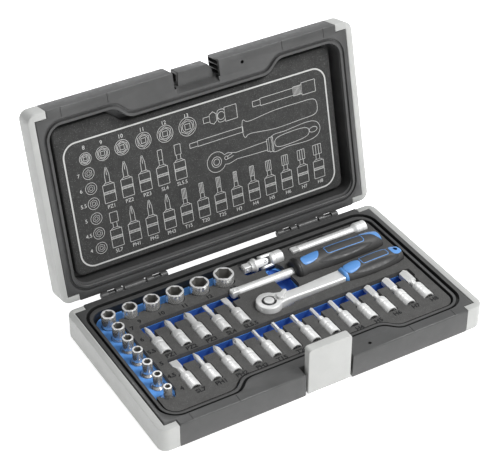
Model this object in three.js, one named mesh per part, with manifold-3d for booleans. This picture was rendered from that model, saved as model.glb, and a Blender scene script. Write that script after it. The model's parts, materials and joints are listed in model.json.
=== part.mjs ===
// Socket and bit set in a hinged carrying case. Millimetres, +Z up, latch towards -Y, hinges towards +Y.
// The origin is the middle of the flat underside of the case. The lid stands open.
import * as THREE from 'three';
import { mergeVertices } from 'three/addons/utils/BufferGeometryUtils.js';
import Module from 'manifold-3d';

const wasm = await Module();
wasm.setup();

// ---- driving dimensions ----
const GAP = 0.3;                       // running clearance between neighbouring solids
const HALF_LENGTH = 150;               // case, along X
const HALF_DEPTH = 82.64;              // case, along Y
const BASE_HEIGHT = 23;                // underside to parting plane
const CASE_HEIGHT = 43.7;              // underside to the top of the closed lid
const LID_BOTTOM = BASE_HEIGHT + GAP;
const FLOOR = 2.5;                     // wall thickness of the floor and of the lid's roof
const HINGE_Y = 85.76;
const HINGE_Z = 22.8;
const LID_OPEN = THREE.MathUtils.degToRad(103.8);

const CAP_WALL = 6;                    // side caps: wall, flange length and flange thickness
const CAP_FLANGE_END = 133.84;
const CAP_FRONT = 76.33;
const CAP_REAR = 77.16;
const CAP_RADIUS = 8;

const SEAL_HALF = 139;                 // middle line of the sealing groove
const SEAL_REAR = 75.8;
const SEAL_FRONT = -72.3;
const SEAL_MIDDLE = -61.3;             // the front line steps back behind the latch
const SEAL_RADIUS = 16;
const STEP_START = 58;
const STEP_END = 80;
const CAVITY_INSET = 4;                // from the groove line to the cavity wall
const CAVITY_REAR_INSET = 5.8;

const FOAM_TOP = 20.7;                 // two foam layers in the base, one pad in the lid
const FOAM_SPLIT = 16;
const FOAM_BOTTOM = FLOOR + GAP;
const FOAM_GAP = 1.2;                  // between the foam and the cavity wall
const PAD_INSET = 9;                   // from the groove line to the edge of the lid pad
const PAD_BOTTOM = 31.6;
const PAD_TOP = CASE_HEIGHT - FLOOR - GAP;

const LATCH_HALF = 19.8;
const LATCH_TOP = 46;
const LATCH_BOTTOM = 2.0;
const LATCH_WALL = 2.2;
const LATCH_DEPTH = 7.64;
const LATCH_PIVOT_Y = -78.5;
const LATCH_PIVOT_Z = 6;
const NOTCH_HALF = 21.9;
const NOTCH_BACK = -72.5;

const SOCKET_LENGTH = 25;
const SOCKET_FOOT_Z = 3.8;
const SQUARE_DRIVE = 6.35;
const BIT_LENGTH = 38;
const BIT_BODY = 18.5;
const BIT_RADIUS = 5.3;
const BIT_AXIS_Z = 18.1;
const BIT_FIRST_X = -101.1;
const BIT_PITCH = 18.36;
const BIT_FRONT_ROW_Y = -48.8;
const BIT_REAR_ROW_Y = -0.8;

const UJ_PIVOT = new THREE.Vector3(23.5, 59.5, 21.2);
const UJ_RADIUS = 6.2;
const EXTENSION = { x0: 52.6, x1: 128.6, y: 61.1, z: 19.1, shaft: 4, head: 6 };
const SPINNER = { x0: -20.5, collar: 40.5, x1: 128.4, y: 37.2, z: 19.8, shaft: 4, grip: 11.2 };
const RATCHET = { x: -1.1, y: 7.9, z: 20.5, turn: THREE.MathUtils.degToRad(1.5), head: 11, end: 134.4 };
const RATCHET_LEVER = { x: 10.6, y: -0.6 };

// ---- materials ----
function material(colour, roughness, metalness) {
  return new THREE.MeshStandardMaterial({ color: colour, roughness, metalness });
}
const shellPlastic = material(0x4c4c4c, 0.6, 0);
const capPlastic = material(0xc4c5c2, 0.5, 0);
const blackFoam = material(0x3c3c3b, 0.95, 0);
const blueFoam = material(0x3f78c8, 0.95, 0);
const chrome = material(0xd8dadb, 0.2, 1);
const steelPin = material(0x9a9c9e, 0.35, 1);
const gripRubber = material(0x2f2f30, 0.75, 0);

// ---- solids ----
function solid(geometry) {
  const bare = geometry.clone();
  bare.deleteAttribute('normal');
  bare.deleteAttribute('uv');
  const merged = mergeVertices(bare, 1e-4);
  const index = merged.index.array;
  const kept = [];
  for (let i = 0; i < index.length; i += 3) {
    const [a, b, c] = [index[i], index[i + 1], index[i + 2]];
    if (a !== b && b !== c && c !== a) kept.push(a, b, c);
  }
  return new wasm.Manifold(new wasm.Mesh({
    numProp: 3,
    vertProperties: Float32Array.from(merged.attributes.position.array),
    triVerts: Uint32Array.from(kept),
  }));
}

function box(x0, x1, y0, y1, z0, z1) {
  const geometry = new THREE.BoxGeometry(x1 - x0, y1 - y0, z1 - z0);
  return solid(geometry.translate((x0 + x1) / 2, (y0 + y1) / 2, (z0 + z1) / 2));
}

function prism(shape, z0, z1, curveSegments = 6) {
  const options = { depth: z1 - z0, bevelEnabled: false, curveSegments };
  return solid(new THREE.ExtrudeGeometry(shape, options).translate(0, 0, z0));
}

// A body of revolution about Z from [radius, z] pairs, the first and the last on the axis, bottom first.
function turned(profile, segments = 16) {
  const points = profile.map(([r, z]) => new THREE.Vector2(r, z));
  return solid(new THREE.LatheGeometry(points, segments).rotateX(Math.PI / 2));
}

function rod(radius, z0, z1, segments = 16) {
  return turned([[0, z0], [radius, z0], [radius, z1], [0, z1]], segments);
}

// A regular prism about Z given by its width across flats, with a flat facing +X.
function flats(width, sides, z0, z1) {
  const geometry = new THREE.CylinderGeometry(1, 1, z1 - z0, sides);
  const radius = width / 2 / Math.cos(Math.PI / sides);
  geometry.rotateX(Math.PI / 2).rotateZ(Math.PI / sides + Math.PI / 2);
  return solid(geometry.scale(radius, radius, 1).translate(0, 0, (z0 + z1) / 2));
}

function moved(body, matrix) {
  return body.transform(Array.from(matrix.elements));
}

function placed(body, x, y, z, turn = new THREE.Euler()) {
  const matrix = new THREE.Matrix4().makeRotationFromEuler(turn).setPosition(x, y, z);
  return moved(body, matrix);
}

const ALONG_X = new THREE.Euler(0, Math.PI / 2, 0);      // turns +Z to +X
const ALONG_Y = new THREE.Euler(-Math.PI / 2, 0, 0);     // turns +Z to +Y

function node(name, body, finish, parent) {
  const mesh = body.getMesh();
  const geometry = new THREE.BufferGeometry();
  geometry.setAttribute('position', new THREE.BufferAttribute(Float32Array.from(mesh.vertProperties), 3));
  geometry.setIndex(new THREE.BufferAttribute(Uint32Array.from(mesh.triVerts), 1));
  geometry.computeVertexNormals();
  const item = new THREE.Mesh(geometry, finish);
  item.name = name;
  parent.add(item);
}

// ---- outlines ----
// The sealing line of the tray, moved inwards. Its front steps back in the middle with an S on each side.
function trayOutline(inset, rearInset = inset) {
  const half = SEAL_HALF - inset;
  const rear = SEAL_REAR - rearInset;
  const front = SEAL_FRONT + inset;
  const middle = SEAL_MIDDLE + inset;
  const r = SEAL_RADIUS - inset;
  const drift = inset * 0.45;
  const [start, end] = [STEP_START + drift, STEP_END + drift];
  const pull = (end - start) / 2;
  const s = new THREE.Shape();
  s.moveTo(-start, middle);
  s.lineTo(start, middle);
  s.bezierCurveTo(start + pull, middle, end - pull, front, end, front);
  s.lineTo(half - r, front);
  s.absarc(half - r, front + r, r, -Math.PI / 2, 0, false);
  s.lineTo(half, rear - r);
  s.absarc(half - r, rear - r, r, 0, Math.PI / 2, false);
  s.lineTo(r - half, rear);
  s.absarc(r - half, rear - r, r, Math.PI / 2, Math.PI, false);
  s.lineTo(-half, front + r);
  s.absarc(r - half, front + r, r, Math.PI, 1.5 * Math.PI, false);
  s.lineTo(-end, front);
  s.bezierCurveTo(pull - end, front, -start - pull, middle, -start, middle);
  return s;
}

function foamLayer(z0, z1) {
  return prism(trayOutline(CAVITY_INSET + FOAM_GAP, CAVITY_REAR_INSET + FOAM_GAP), z0, z1);
}

function sealRing(outer, inner, z0, z1) {
  return prism(trayOutline(outer), z0, z1).subtract(prism(trayOutline(inner), z0 - 1, z1 + 1));
}

function shellBlock(z0, z1) {
  const wide = box(CAP_WALL - HALF_LENGTH + GAP, HALF_LENGTH - CAP_WALL - GAP,
    GAP - CAP_FRONT, CAP_REAR - GAP, z0, z1);
  const deep = box(GAP - CAP_FLANGE_END, CAP_FLANGE_END - GAP, -HALF_DEPTH, HALF_DEPTH, z0, z1);
  return wide.add(deep);
}

function sideCap(side, z0, z1) {
  const inner = HALF_LENGTH - CAP_WALL;
  const s = new THREE.Shape();
  s.moveTo(CAP_FLANGE_END, -HALF_DEPTH);
  s.lineTo(HALF_LENGTH - CAP_RADIUS, -HALF_DEPTH);
  s.absarc(HALF_LENGTH - CAP_RADIUS, CAP_RADIUS - HALF_DEPTH, CAP_RADIUS, -Math.PI / 2, 0, false);
  s.lineTo(HALF_LENGTH, HALF_DEPTH - CAP_RADIUS);
  s.absarc(HALF_LENGTH - CAP_RADIUS, HALF_DEPTH - CAP_RADIUS, CAP_RADIUS, 0, Math.PI / 2, false);
  s.lineTo(CAP_FLANGE_END, HALF_DEPTH);
  s.lineTo(CAP_FLANGE_END, CAP_REAR);
  s.lineTo(inner, CAP_REAR);
  s.lineTo(inner, -CAP_FRONT);
  s.lineTo(CAP_FLANGE_END, -CAP_FRONT);
  s.closePath();
  const cap = prism(s, z0, z1);
  return side > 0 ? cap : placed(cap, 0, 0, 0, new THREE.Euler(0, 0, Math.PI))
    .transform(mirrorRows());
}

// A half turn swaps front and rear, so the left cap is mirrored back along Y.
function mirrorRows() {
  return Array.from(new THREE.Matrix4().makeScale(1, -1, 1).elements);
}

// ---- hinges ----
const KNUCKLE = { radius: 2.8, bore: 1.3, pin: 1.0, inner: 54, outer: 116, gap: 1.2 };
const KNUCKLE_LENGTH = (KNUCKLE.outer - KNUCKLE.inner - 2 * KNUCKLE.gap) / 3;

// The span of knuckle 0, 1 or 2, counted outwards from the middle of the case.
function knuckleSpan(index) {
  const start = KNUCKLE.inner + index * (KNUCKLE_LENGTH + KNUCKLE.gap);
  return [start, start + KNUCKLE_LENGTH];
}

// Barrel and web of one knuckle. The web joins the wall below the axis on the base, above it on the lid.
function knuckle(side, index, above) {
  const [a, b] = knuckleSpan(index);
  const x0 = side > 0 ? a : -b;
  const barrel = placed(rod(KNUCKLE.radius, 0, b - a, 12), x0, HINGE_Y, HINGE_Z, ALONG_X);
  const [low, high] = above ? [HINGE_Z + 0.6, HINGE_Z + 2.7] : [HINGE_Z - 2.7, HINGE_Z - 0.2];
  return barrel.add(box(x0, x0 + b - a, HALF_DEPTH - 1, HINGE_Y, low, high));
}

function hingeBore(side) {
  const length = KNUCKLE.outer - KNUCKLE.inner + 4;
  const x0 = side > 0 ? KNUCKLE.inner - 2 : -KNUCKLE.outer - 2;
  return placed(rod(KNUCKLE.bore, 0, length, 12), x0, HINGE_Y, HINGE_Z, ALONG_X);
}

function hingePin(side) {
  const x0 = side > 0 ? KNUCKLE.inner : -KNUCKLE.outer;
  return placed(rod(KNUCKLE.pin, 0, KNUCKLE.outer - KNUCKLE.inner, 12), x0, HINGE_Y, HINGE_Z, ALONG_X);
}

// ---- case ----
function baseShell() {
  let body = shellBlock(0, BASE_HEIGHT);
  const over = BASE_HEIGHT + 1;
  body = body.subtract(prism(trayOutline(CAVITY_INSET, CAVITY_REAR_INSET), FLOOR, over));
  body = body.subtract(prism(trayOutline(1), BASE_HEIGHT - 1, over));
  body = body.subtract(sealRing(-1, 1.01, BASE_HEIGHT - 3, over));
  body = body.subtract(box(-NOTCH_HALF, NOTCH_HALF, -HALF_DEPTH - 1, NOTCH_BACK, -1, over));
  const bore = placed(rod(1.3, -24, 24, 12), 0, LATCH_PIVOT_Y, LATCH_PIVOT_Z, ALONG_X);
  body = body.subtract(bore);
  for (const side of [-1, 1]) {
    body = body.add(knuckle(side, 0, false)).add(knuckle(side, 2, false)).subtract(hingeBore(side));
  }
  return body;
}

const CATCH = { front: -74.4, back: -68.5, half: 12.5, tipHalf: 10, low: 29.5, high: 42.4, ramp: -64.5 };

function catchBlock() {
  const s = new THREE.Shape();
  s.moveTo(-CATCH.half, CATCH.back + 0.5);
  s.lineTo(-CATCH.tipHalf, CATCH.front);
  s.lineTo(CATCH.tipHalf, CATCH.front);
  s.lineTo(CATCH.half, CATCH.back + 0.5);
  s.closePath();
  return prism(s, CATCH.low, CATCH.high);
}

// The slope that leads from the lid's parting face to the foot of the catch, as a solid to cut away.
function catchRamp() {
  const s = new THREE.Shape();
  s.moveTo(CATCH.ramp, LID_BOTTOM - 1);
  s.lineTo(CATCH.back, CATCH.low);
  s.lineTo(CATCH.back - 1, CATCH.low);
  s.lineTo(CATCH.back - 1, LID_BOTTOM - 1);
  s.closePath();
  const turn = new THREE.Matrix4().set(0, 0, 1, -18, 1, 0, 0, 0, 0, 1, 0, 0, 0, 0, 0, 1);
  return moved(prism(s, 0, 36), turn);
}

function lidShell() {
  let body = shellBlock(LID_BOTTOM, CASE_HEIGHT);
  const cavity = trayOutline(CAVITY_INSET, CAVITY_REAR_INSET);
  body = body.subtract(prism(cavity, LID_BOTTOM - 1, CASE_HEIGHT - FLOOR));
  body = body.subtract(sealRing(-1, 1.3, LID_BOTTOM - 1, LID_BOTTOM + 1.5));
  body = body.add(sealRing(1.3, 3.7, BASE_HEIGHT - 0.7, LID_BOTTOM + 1));
  body = body.subtract(box(-21.7, 21.7, -HALF_DEPTH - 1, CATCH.back, LID_BOTTOM - 1, CASE_HEIGHT + 1));
  body = body.subtract(catchRamp()).add(catchBlock());
  for (const side of [-1, 1]) {
    body = body.add(knuckle(side, 1, true)).subtract(hingeBore(side));
  }
  return body;
}

// A plate with a hooked top edge and two side walls, drawn round its own pivot.
function latchPlate() {
  const front = -HALF_DEPTH;
  const back = front + LATCH_DEPTH;
  let body = box(-LATCH_HALF, LATCH_HALF, front, front + LATCH_WALL, LATCH_BOTTOM, LATCH_TOP);
  body = body.add(box(-LATCH_HALF, LATCH_HALF, front, back, LATCH_TOP - 2.4, LATCH_TOP));
  for (const x of [-LATCH_HALF, LATCH_HALF - 2]) {
    body = body.add(box(x, x + 2, front, back - 1, LATCH_BOTTOM, LATCH_TOP));
  }
  const bore = placed(rod(1.3, -24, 24, 12), 0, LATCH_PIVOT_Y, LATCH_PIVOT_Z, ALONG_X);
  return body.subtract(bore);
}

// ---- pockets in the foam, each made from the piece that lies in it ----
const SOCKETS = [
  // [size, x, y, outer diameter of the hexagon end]
  [8, -124.0, 55.7, 12.0], [9, -104.7, 55.6, 12.8], [10, -84.7, 55.5, 13.9],
  [11, -63.4, 54.8, 15.3], [12, -40.2, 54.8, 16.4], [13, -17.1, 54.7, 17.7],
  [7, -123.8, 38.6, 10.4], [6, -123.8, 21.9, 9.3], [5.5, -123.8, 5.2, 8.8],
  [5, -123.8, -11.5, 8.3], [4.5, -123.8, -28.2, 7.6], [4, -123.8, -44.9, 6.9],
];

function socketFoot(diameter) {
  return Math.max(11.8, diameter * 0.86);
}

const BIT_ROWS = [
  { y: BIT_FRONT_ROW_Y, names: ['sl7', 'ph1', 'ph2', 'ph3', 't15', 't20', 't25', 'h3', 'h4', 'h5', 'h6', 'h7', 'h8'] },
  { y: BIT_REAR_ROW_Y, names: ['pz1', 'pz2', 'pz3', 'sl4', 'sl5_5'] },
];

function bitX(index) {
  return BIT_FIRST_X + index * BIT_PITCH;
}

function inRatchet(body) {
  return placed(body, RATCHET.x, RATCHET.y, 0, new THREE.Euler(0, 0, RATCHET.turn));
}

// Every cut is [solid]; the depth of each reaches from above the foam down to the z given.
function sharedPockets() {
  const top = FOAM_TOP + 1;
  const cuts = [];
  for (const row of BIT_ROWS) {
    row.names.forEach((name, i) => {
      cuts.push(box(bitX(i) - 5.6, bitX(i) + 5.6, row.y - 1, row.y + BIT_LENGTH + 1, 12.4, top));
    });
  }
  const e = EXTENSION;
  cuts.push(box(e.x0 - 0.8, 118, e.y - 4.4, e.y + 4.4, e.z - 4.4, top));
  cuts.push(box(115, e.x1 + 0.6, e.y - 6.4, e.y + 6.4, e.z - 6.4, top));
  cuts.push(box(71.5, 90, e.y + 3, 67.6, 8, top));
  const u = UJ_PIVOT;
  cuts.push(box(2.8, 31, u.y - 8.6, u.y + 8.6, u.z - 2.6, top));
  cuts.push(box(2.8, 31, u.y - 6.8, u.y + 6.8, u.z - 8, top));
  cuts.push(box(30, 43, u.y - 6.6, u.y + 6.6, u.z - 6.6, top));
  cuts.push(box(19.5, 35.5, 15, u.y - 5, 9, top));
  const s = SPINNER;
  cuts.push(box(s.x0 - 1, 45, s.y - 4.4, s.y + 4.4, s.z - 4.4, top));
  cuts.push(box(s.collar - 1, s.x1 + 0.6, s.y - 11.6, s.y + 11.6, s.z - 11.6, top));
  cuts.push(inRatchet(rod(11.6, 12.6, top, 24)));
  cuts.push(inRatchet(box(0, 20, -9.4, 9.4, 12.6, top)));
  cuts.push(inRatchet(rod(5.4, 6.4, top, 16)));
  cuts.push(inRatchet(box(0, 76, -7, 7, 15.2, top)));
  cuts.push(inRatchet(box(71, RATCHET.end + 0.4, -10.9, 10.9, 10.6, top)));
  return cuts;
}

function upperFoam() {
  let body = foamLayer(FOAM_SPLIT + GAP, FOAM_TOP);
  const top = FOAM_TOP + 1;
  const cuts = sharedPockets();
  for (const row of BIT_ROWS) {
    const rear = row.y + 40;
    cuts.push(box(-106, bitX(row.names.length - 1) + 6.5, rear - 11.5, rear, 10, top));
  }
  cuts.push(box(-140, -115.5, -44, 75, 10, top));
  cuts.push(box(-140, -12, 54.1, 75, 10, top));
  for (const [, x, y, diameter] of SOCKETS) {
    cuts.push(placed(rod(diameter / 2 + 0.6, 10, top), x, y, 0));
    cuts.push(placed(rod(socketFoot(diameter) / 2 + 0.6, 10, top), x, y, 0));
  }
  for (const cut of cuts) body = body.subtract(cut);
  return body;
}

function lowerFoam() {
  let body = foamLayer(FOAM_BOTTOM, FOAM_SPLIT);
  const cuts = sharedPockets();
  for (const row of BIT_ROWS) {
    const rear = row.y + 39.8;
    cuts.push(box(-105.8, bitX(row.names.length - 1) + 6.3, rear - 11.2, rear, 11, FOAM_TOP));
  }
  for (const [, x, y, diameter] of SOCKETS) {
    const radius = socketFoot(diameter) / 2 + 0.4;
    cuts.push(placed(rod(radius, SOCKET_FOOT_Z - GAP, FOAM_TOP), x, y, 0));
    cuts.push(placed(rod(diameter / 2 + 0.4, SOCKET_FOOT_Z + 10, FOAM_TOP), x, y, 0));
  }
  for (const cut of cuts) body = body.subtract(cut);
  return body;
}

// ---- sockets: hexagon end up, square drive down, open right through ----
function socket(size, diameter) {
  const [r, foot] = [diameter / 2, socketFoot(diameter) / 2];
  const outside = turned([
    [0, 0], [foot - 0.6, 0], [foot, 0.6], [foot, 10.5], [r, 13.5],
    [r, SOCKET_LENGTH - 0.6], [r - 0.6, SOCKET_LENGTH], [0, SOCKET_LENGTH],
  ], 16);
  const hexagon = flats(size, 6, 8.4, SOCKET_LENGTH + 1);
  return outside.subtract(hexagon).subtract(flats(SQUARE_DRIVE + 0.1, 4, -1, 8.5));
}

// ---- bits: each a round body with a square drive hole, a shank and its own tip ----
function lobedTip(outer, inner, z0, z1) {
  const s = new THREE.Shape();
  for (let i = 0; i < 12; i += 1) {
    const r = i % 2 ? inner : outer;
    const a = i * Math.PI / 6;
    if (i) s.lineTo(r * Math.cos(a), r * Math.sin(a));
    else s.moveTo(r, 0);
  }
  s.closePath();
  return prism(s, z0, z1);
}

const CROSS_RADIUS = { 1: 2.3, 2: 3.0, 3: 3.7 };
const LOBE_RADIUS = { 15: 1.64, 20: 1.93, 25: 2.22 };

function bitTip(name) {
  const size = parseFloat(name.replace(/^[a-z]+/, '').replace('_', '.'));
  if (name.startsWith('h')) return flats(size, 6, 24.2, BIT_LENGTH);
  if (name.startsWith('t')) return lobedTip(LOBE_RADIUS[size], LOBE_RADIUS[size] * 0.76, 25, BIT_LENGTH);
  if (name.startsWith('sl')) return box(-size / 2, size / 2, -0.6, 0.6, 25, BIT_LENGTH);
  const r = CROSS_RADIUS[size];
  return turned([[0, 25], [r, 25], [r, BIT_LENGTH - 5], [0.5, BIT_LENGTH], [0, BIT_LENGTH]], 8);
}

function bit(name) {
  const outside = turned([
    [0, 0], [BIT_RADIUS - 0.5, 0], [BIT_RADIUS, 0.5], [BIT_RADIUS, BIT_BODY - 1.2],
    [BIT_RADIUS - 1.2, BIT_BODY], [0, BIT_BODY],
  ], 12);
  const bored = outside.subtract(flats(SQUARE_DRIVE + 0.1, 4, -1, 9));
  return bored.add(flats(SQUARE_DRIVE, 6, BIT_BODY - 1, 26)).add(bitTip(name));
}

// ---- universal joint, drawn along X round its pivot, its two axes at 45 degrees to the tray ----
function forkHalf(direction, axisTurn, extra) {
  const reach = 7.3;
  const ear = 3.2;
  const round = placed(rod(UJ_RADIUS, 0, 11.5 + extra, 16), -ear, 0, 0, ALONG_X);
  const slot = box(-ear - 1, reach, -10, 10, -3.5, 3.5);
  const flanks = box(-ear - 1, reach - 0.01, 3, 10, -10, 10).add(box(-ear - 1, reach - 0.01, -10, -3, -10, 10));
  let body = round.subtract(slot).subtract(flanks);
  for (const side of [-1, 1]) {
    const corner = placed(box(-3, 0, -3, 3, -10, 10), -ear + 1, side * 2, 0, new THREE.Euler(0, 0, side * -Math.PI / 4));
    body = body.subtract(corner);
  }
  body = body.subtract(placed(rod(1.5, -10, 10, 10), 0, 0, 0));
  const turn = new THREE.Matrix4().makeRotationX(axisTurn);
  if (direction < 0) turn.premultiply(new THREE.Matrix4().makeRotationZ(Math.PI));
  return moved(body, turn);
}

function ujSocketYoke() {
  const body = forkHalf(1, -Math.PI / 4, 18.5 - 8.3);
  const hole = placed(flats(SQUARE_DRIVE + 0.1, 4, 9.5, 20), 0, 0, 0, ALONG_X);
  return body.subtract(moved(hole, new THREE.Matrix4().makeRotationX(Math.PI / 4)));
}

function ujDriveYoke() {
  const body = forkHalf(-1, -Math.PI / 4, 4.2);
  const square = placed(flats(SQUARE_DRIVE, 4, -19.7, -11), 0, 0, 0, ALONG_X);
  return body.add(moved(square, new THREE.Matrix4().makeRotationX(Math.PI / 4)));
}

function ujCross() {
  let body = box(-2.6, 2.6, -2.6, 2.6, -2.6, 2.6);
  body = body.add(rod(1.2, -6, 6, 10));
  body = body.add(placed(rod(1.2, -6, 6, 10), 0, 0, 0, ALONG_Y));
  return moved(body, new THREE.Matrix4().makeRotationX(-Math.PI / 4));
}

// ---- extension bar, spinner handle ----
function extensionBar() {
  const e = EXTENSION;
  const length = e.x1 - e.x0;
  const bar = turned([
    [0, 6], [e.shaft, 6], [e.shaft, length - 14], [e.head, length - 10],
    [e.head, length], [0, length],
  ], 16);
  const square = flats(SQUARE_DRIVE, 4, 0, 8);
  const hole = flats(SQUARE_DRIVE + 0.1, 4, length - 8.5, length + 1);
  return bar.add(square).subtract(hole);
}

function spinnerShaft() {
  const inGrip = SPINNER.collar - SPINNER.x0 + 30;
  return rod(SPINNER.shaft, 6, inGrip, 16).add(flats(SQUARE_DRIVE, 4, 0, 8));
}

function spinnerGrip() {
  const length = SPINNER.x1 - SPINNER.collar;
  const g = SPINNER.grip;
  const outside = turned([
    [0, 0], [9.5, 0], [g, 1.5], [g, 4], [g - 1.6, 7], [g - 1.2, 18], [g, 30], [g, 46],
    [g - 0.8, 64], [g - 1.8, 76], [g - 3.6, 84], [g - 6.5, length], [0, length],
  ], 20);
  return outside.subtract(rod(SPINNER.shaft + GAP, -1, 31, 16));
}

// ---- ratchet handle, drawn round the middle of its head with the handle towards +X ----
const GEAR = { radius: 6.7, bore: 7.1, low: -4.3, high: 3.2, teeth: 30 };

function ratchetOutline() {
  const r = RATCHET.head;
  const s = new THREE.Shape();
  s.absarc(0, 0, r, 0.95, 2 * Math.PI - 0.95, false);
  s.lineTo(20, -5.4);
  s.lineTo(72.5, -6.2);
  s.lineTo(72.5, 6.2);
  s.lineTo(20, 5.4);
  s.closePath();
  return s;
}

function ratchetBody() {
  const head = prism(ratchetOutline(), -6, 5.5, 12);
  const overNeck = box(18, 74, -12, 12, 3.6, 6).add(box(18, 74, -12, 12, -7, -4.6));
  let body = head.subtract(overNeck);
  body = body.add(box(72, 104, -4, 4, -3.2, 3.2));
  body = body.subtract(rod(GEAR.bore, -7, 3.5, 24));
  body = body.subtract(rod(6.0, 3, 6, 24));
  body = body.subtract(box(5, 15.5, -5.2, 4, -7, 3.5));
  body = body.subtract(placed(rod(2.0, -7, 6, 12), RATCHET_LEVER.x, RATCHET_LEVER.y, 0));
  return body;
}

function ratchetCover() {
  const s = new THREE.Shape();
  s.absarc(0, 0, 9.6, 0.75, 2 * Math.PI - 0.75, false);
  s.lineTo(17, -4.4);
  s.lineTo(17, 4.4);
  s.closePath();
  return prism(s, -7.5, -6.3, 12).subtract(rod(5.2, -8, -5, 20));
}

function ratchetGear() {
  const s = new THREE.Shape();
  for (let i = 0; i < 2 * GEAR.teeth; i += 1) {
    const r = i % 2 ? GEAR.radius - 0.6 : GEAR.radius;
    const a = i * Math.PI / GEAR.teeth;
    if (i) s.lineTo(r * Math.cos(a), r * Math.sin(a));
    else s.moveTo(r, 0);
  }
  s.closePath();
  let body = prism(s, GEAR.low, GEAR.high).add(rod(5.7, 3, 5.6, 20)).add(rod(4.9, -8, -4, 20));
  body = body.add(flats(SQUARE_DRIVE, 4, -14, -7.5));
  return body.subtract(rod(4.7, 2.2, 6, 20));
}

function ratchetButton() {
  return rod(4.4, 3.9, 6.4, 20);
}

// The lever's hub turns in the head; below it a rocker carries the pawl beside the gear.
function ratchetLever() {
  let body = rod(1.7, -3, 6, 12).add(rod(3, 5.8, 7.2, 16));
  const arm = placed(box(0, 9, -1.5, 1.5, 5.8, 7.2), 0, 0, 0, new THREE.Euler(0, 0, 0.5));
  const rocker = box(-2.2, 1.8, -2.6, 2.6, -3.9, 2.9);
  return placed(body.add(arm).add(rocker), RATCHET_LEVER.x, RATCHET_LEVER.y, 0);
}

function ratchetGrip() {
  const length = RATCHET.end - 73;
  const outside = turned([
    [0, 0], [7.5, 0], [8.6, 1.5], [9.4, 8], [10.4, 20], [10.5, 34], [9.8, 46],
    [8.4, 55], [6, 60], [3, length], [0, length],
  ], 20);
  const flat = new THREE.Matrix4().makeScale(0.9, 1, 1);
  const laid = placed(moved(outside, flat), 73, 0, 0, ALONG_X);
  const hangHole = placed(rod(2, -14, 14, 12), 127.2, 0, 0);
  return laid.subtract(box(70, 104.5, -4.3, 4.3, -3.5, 3.5)).subtract(hangHole);
}

// ---- assembly ----
const set = new THREE.Group();

node('base_shell', baseShell(), shellPlastic, set);
node('base_left_cap', sideCap(-1, 0, BASE_HEIGHT), capPlastic, set);
node('base_right_cap', sideCap(1, 0, BASE_HEIGHT), capPlastic, set);
node('left_hinge_pin', hingePin(-1), steelPin, set);
node('right_hinge_pin', hingePin(1), steelPin, set);
node('tray_foam', upperFoam(), blackFoam, set);
node('tray_base_foam', lowerFoam(), blueFoam, set);

const latchPin = rod(1.0, -23.5, 23.5, 12);
node('latch_pin', placed(latchPin, 0, LATCH_PIVOT_Y, LATCH_PIVOT_Z, ALONG_X), steelPin, set);
node('front_latch', latchPlate(), capPlastic, set);

// The lid's parts are drawn closed, then swung open about the hinge axis.
const lid = new THREE.Group();
const lidInside = new THREE.Group();
lidInside.position.set(0, -HINGE_Y, -HINGE_Z);
lid.add(lidInside);
lid.position.set(0, HINGE_Y, HINGE_Z);
lid.rotation.x = -LID_OPEN;
set.add(lid);
node('lid_shell', lidShell(), shellPlastic, lidInside);
node('lid_left_cap', sideCap(-1, LID_BOTTOM, CASE_HEIGHT), capPlastic, lidInside);
node('lid_right_cap', sideCap(1, LID_BOTTOM, CASE_HEIGHT), capPlastic, lidInside);
node('lid_pad', prism(trayOutline(PAD_INSET), PAD_BOTTOM, PAD_TOP), blackFoam, lidInside);

for (const [size, x, y, diameter] of SOCKETS) {
  const name = `socket_${String(size).replace('.', '_')}mm`;
  node(name, placed(socket(size, diameter), x, y, SOCKET_FOOT_Z), chrome, set);
}

for (const row of BIT_ROWS) {
  row.names.forEach((name, i) => {
    node(`bit_${name}`, placed(bit(name), bitX(i), row.y, BIT_AXIS_Z, ALONG_Y), chrome, set);
  });
}

const joint = new THREE.Group();
joint.position.copy(UJ_PIVOT);
set.add(joint);
node('uj_socket_yoke', ujSocketYoke(), chrome, joint);
node('uj_cross', ujCross(), steelPin, joint);
node('uj_drive_yoke', ujDriveYoke(), chrome, joint);

node('extension_bar', placed(extensionBar(), EXTENSION.x0, EXTENSION.y, EXTENSION.z, ALONG_X), chrome, set);
node('spinner_shaft', placed(spinnerShaft(), SPINNER.x0, SPINNER.y, SPINNER.z, ALONG_X), chrome, set);
node('spinner_grip', placed(spinnerGrip(), SPINNER.collar, SPINNER.y, SPINNER.z, ALONG_X), gripRubber, set);

const ratchet = new THREE.Group();
ratchet.position.set(RATCHET.x, RATCHET.y, RATCHET.z);
ratchet.rotation.z = RATCHET.turn;
set.add(ratchet);
node('ratchet_body', ratchetBody(), chrome, ratchet);
node('ratchet_cover', ratchetCover(), chrome, ratchet);
node('ratchet_grip', ratchetGrip(), gripRubber, ratchet);
node('ratchet_gear', ratchetGear(), steelPin, ratchet);
node('ratchet_release_button', ratchetButton(), chrome, ratchet);
node('ratchet_lever', ratchetLever(), chrome, ratchet);

export default set;
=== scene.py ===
"""Looks of the socket set in its case. Shapes are drawn in millimetres and scaled to metres at the end."""
import json
import math

import bmesh
import bpy
import numpy as np
from mathutils import Matrix, Vector
from mathutils.geometry import tessellate_polygon


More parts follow.
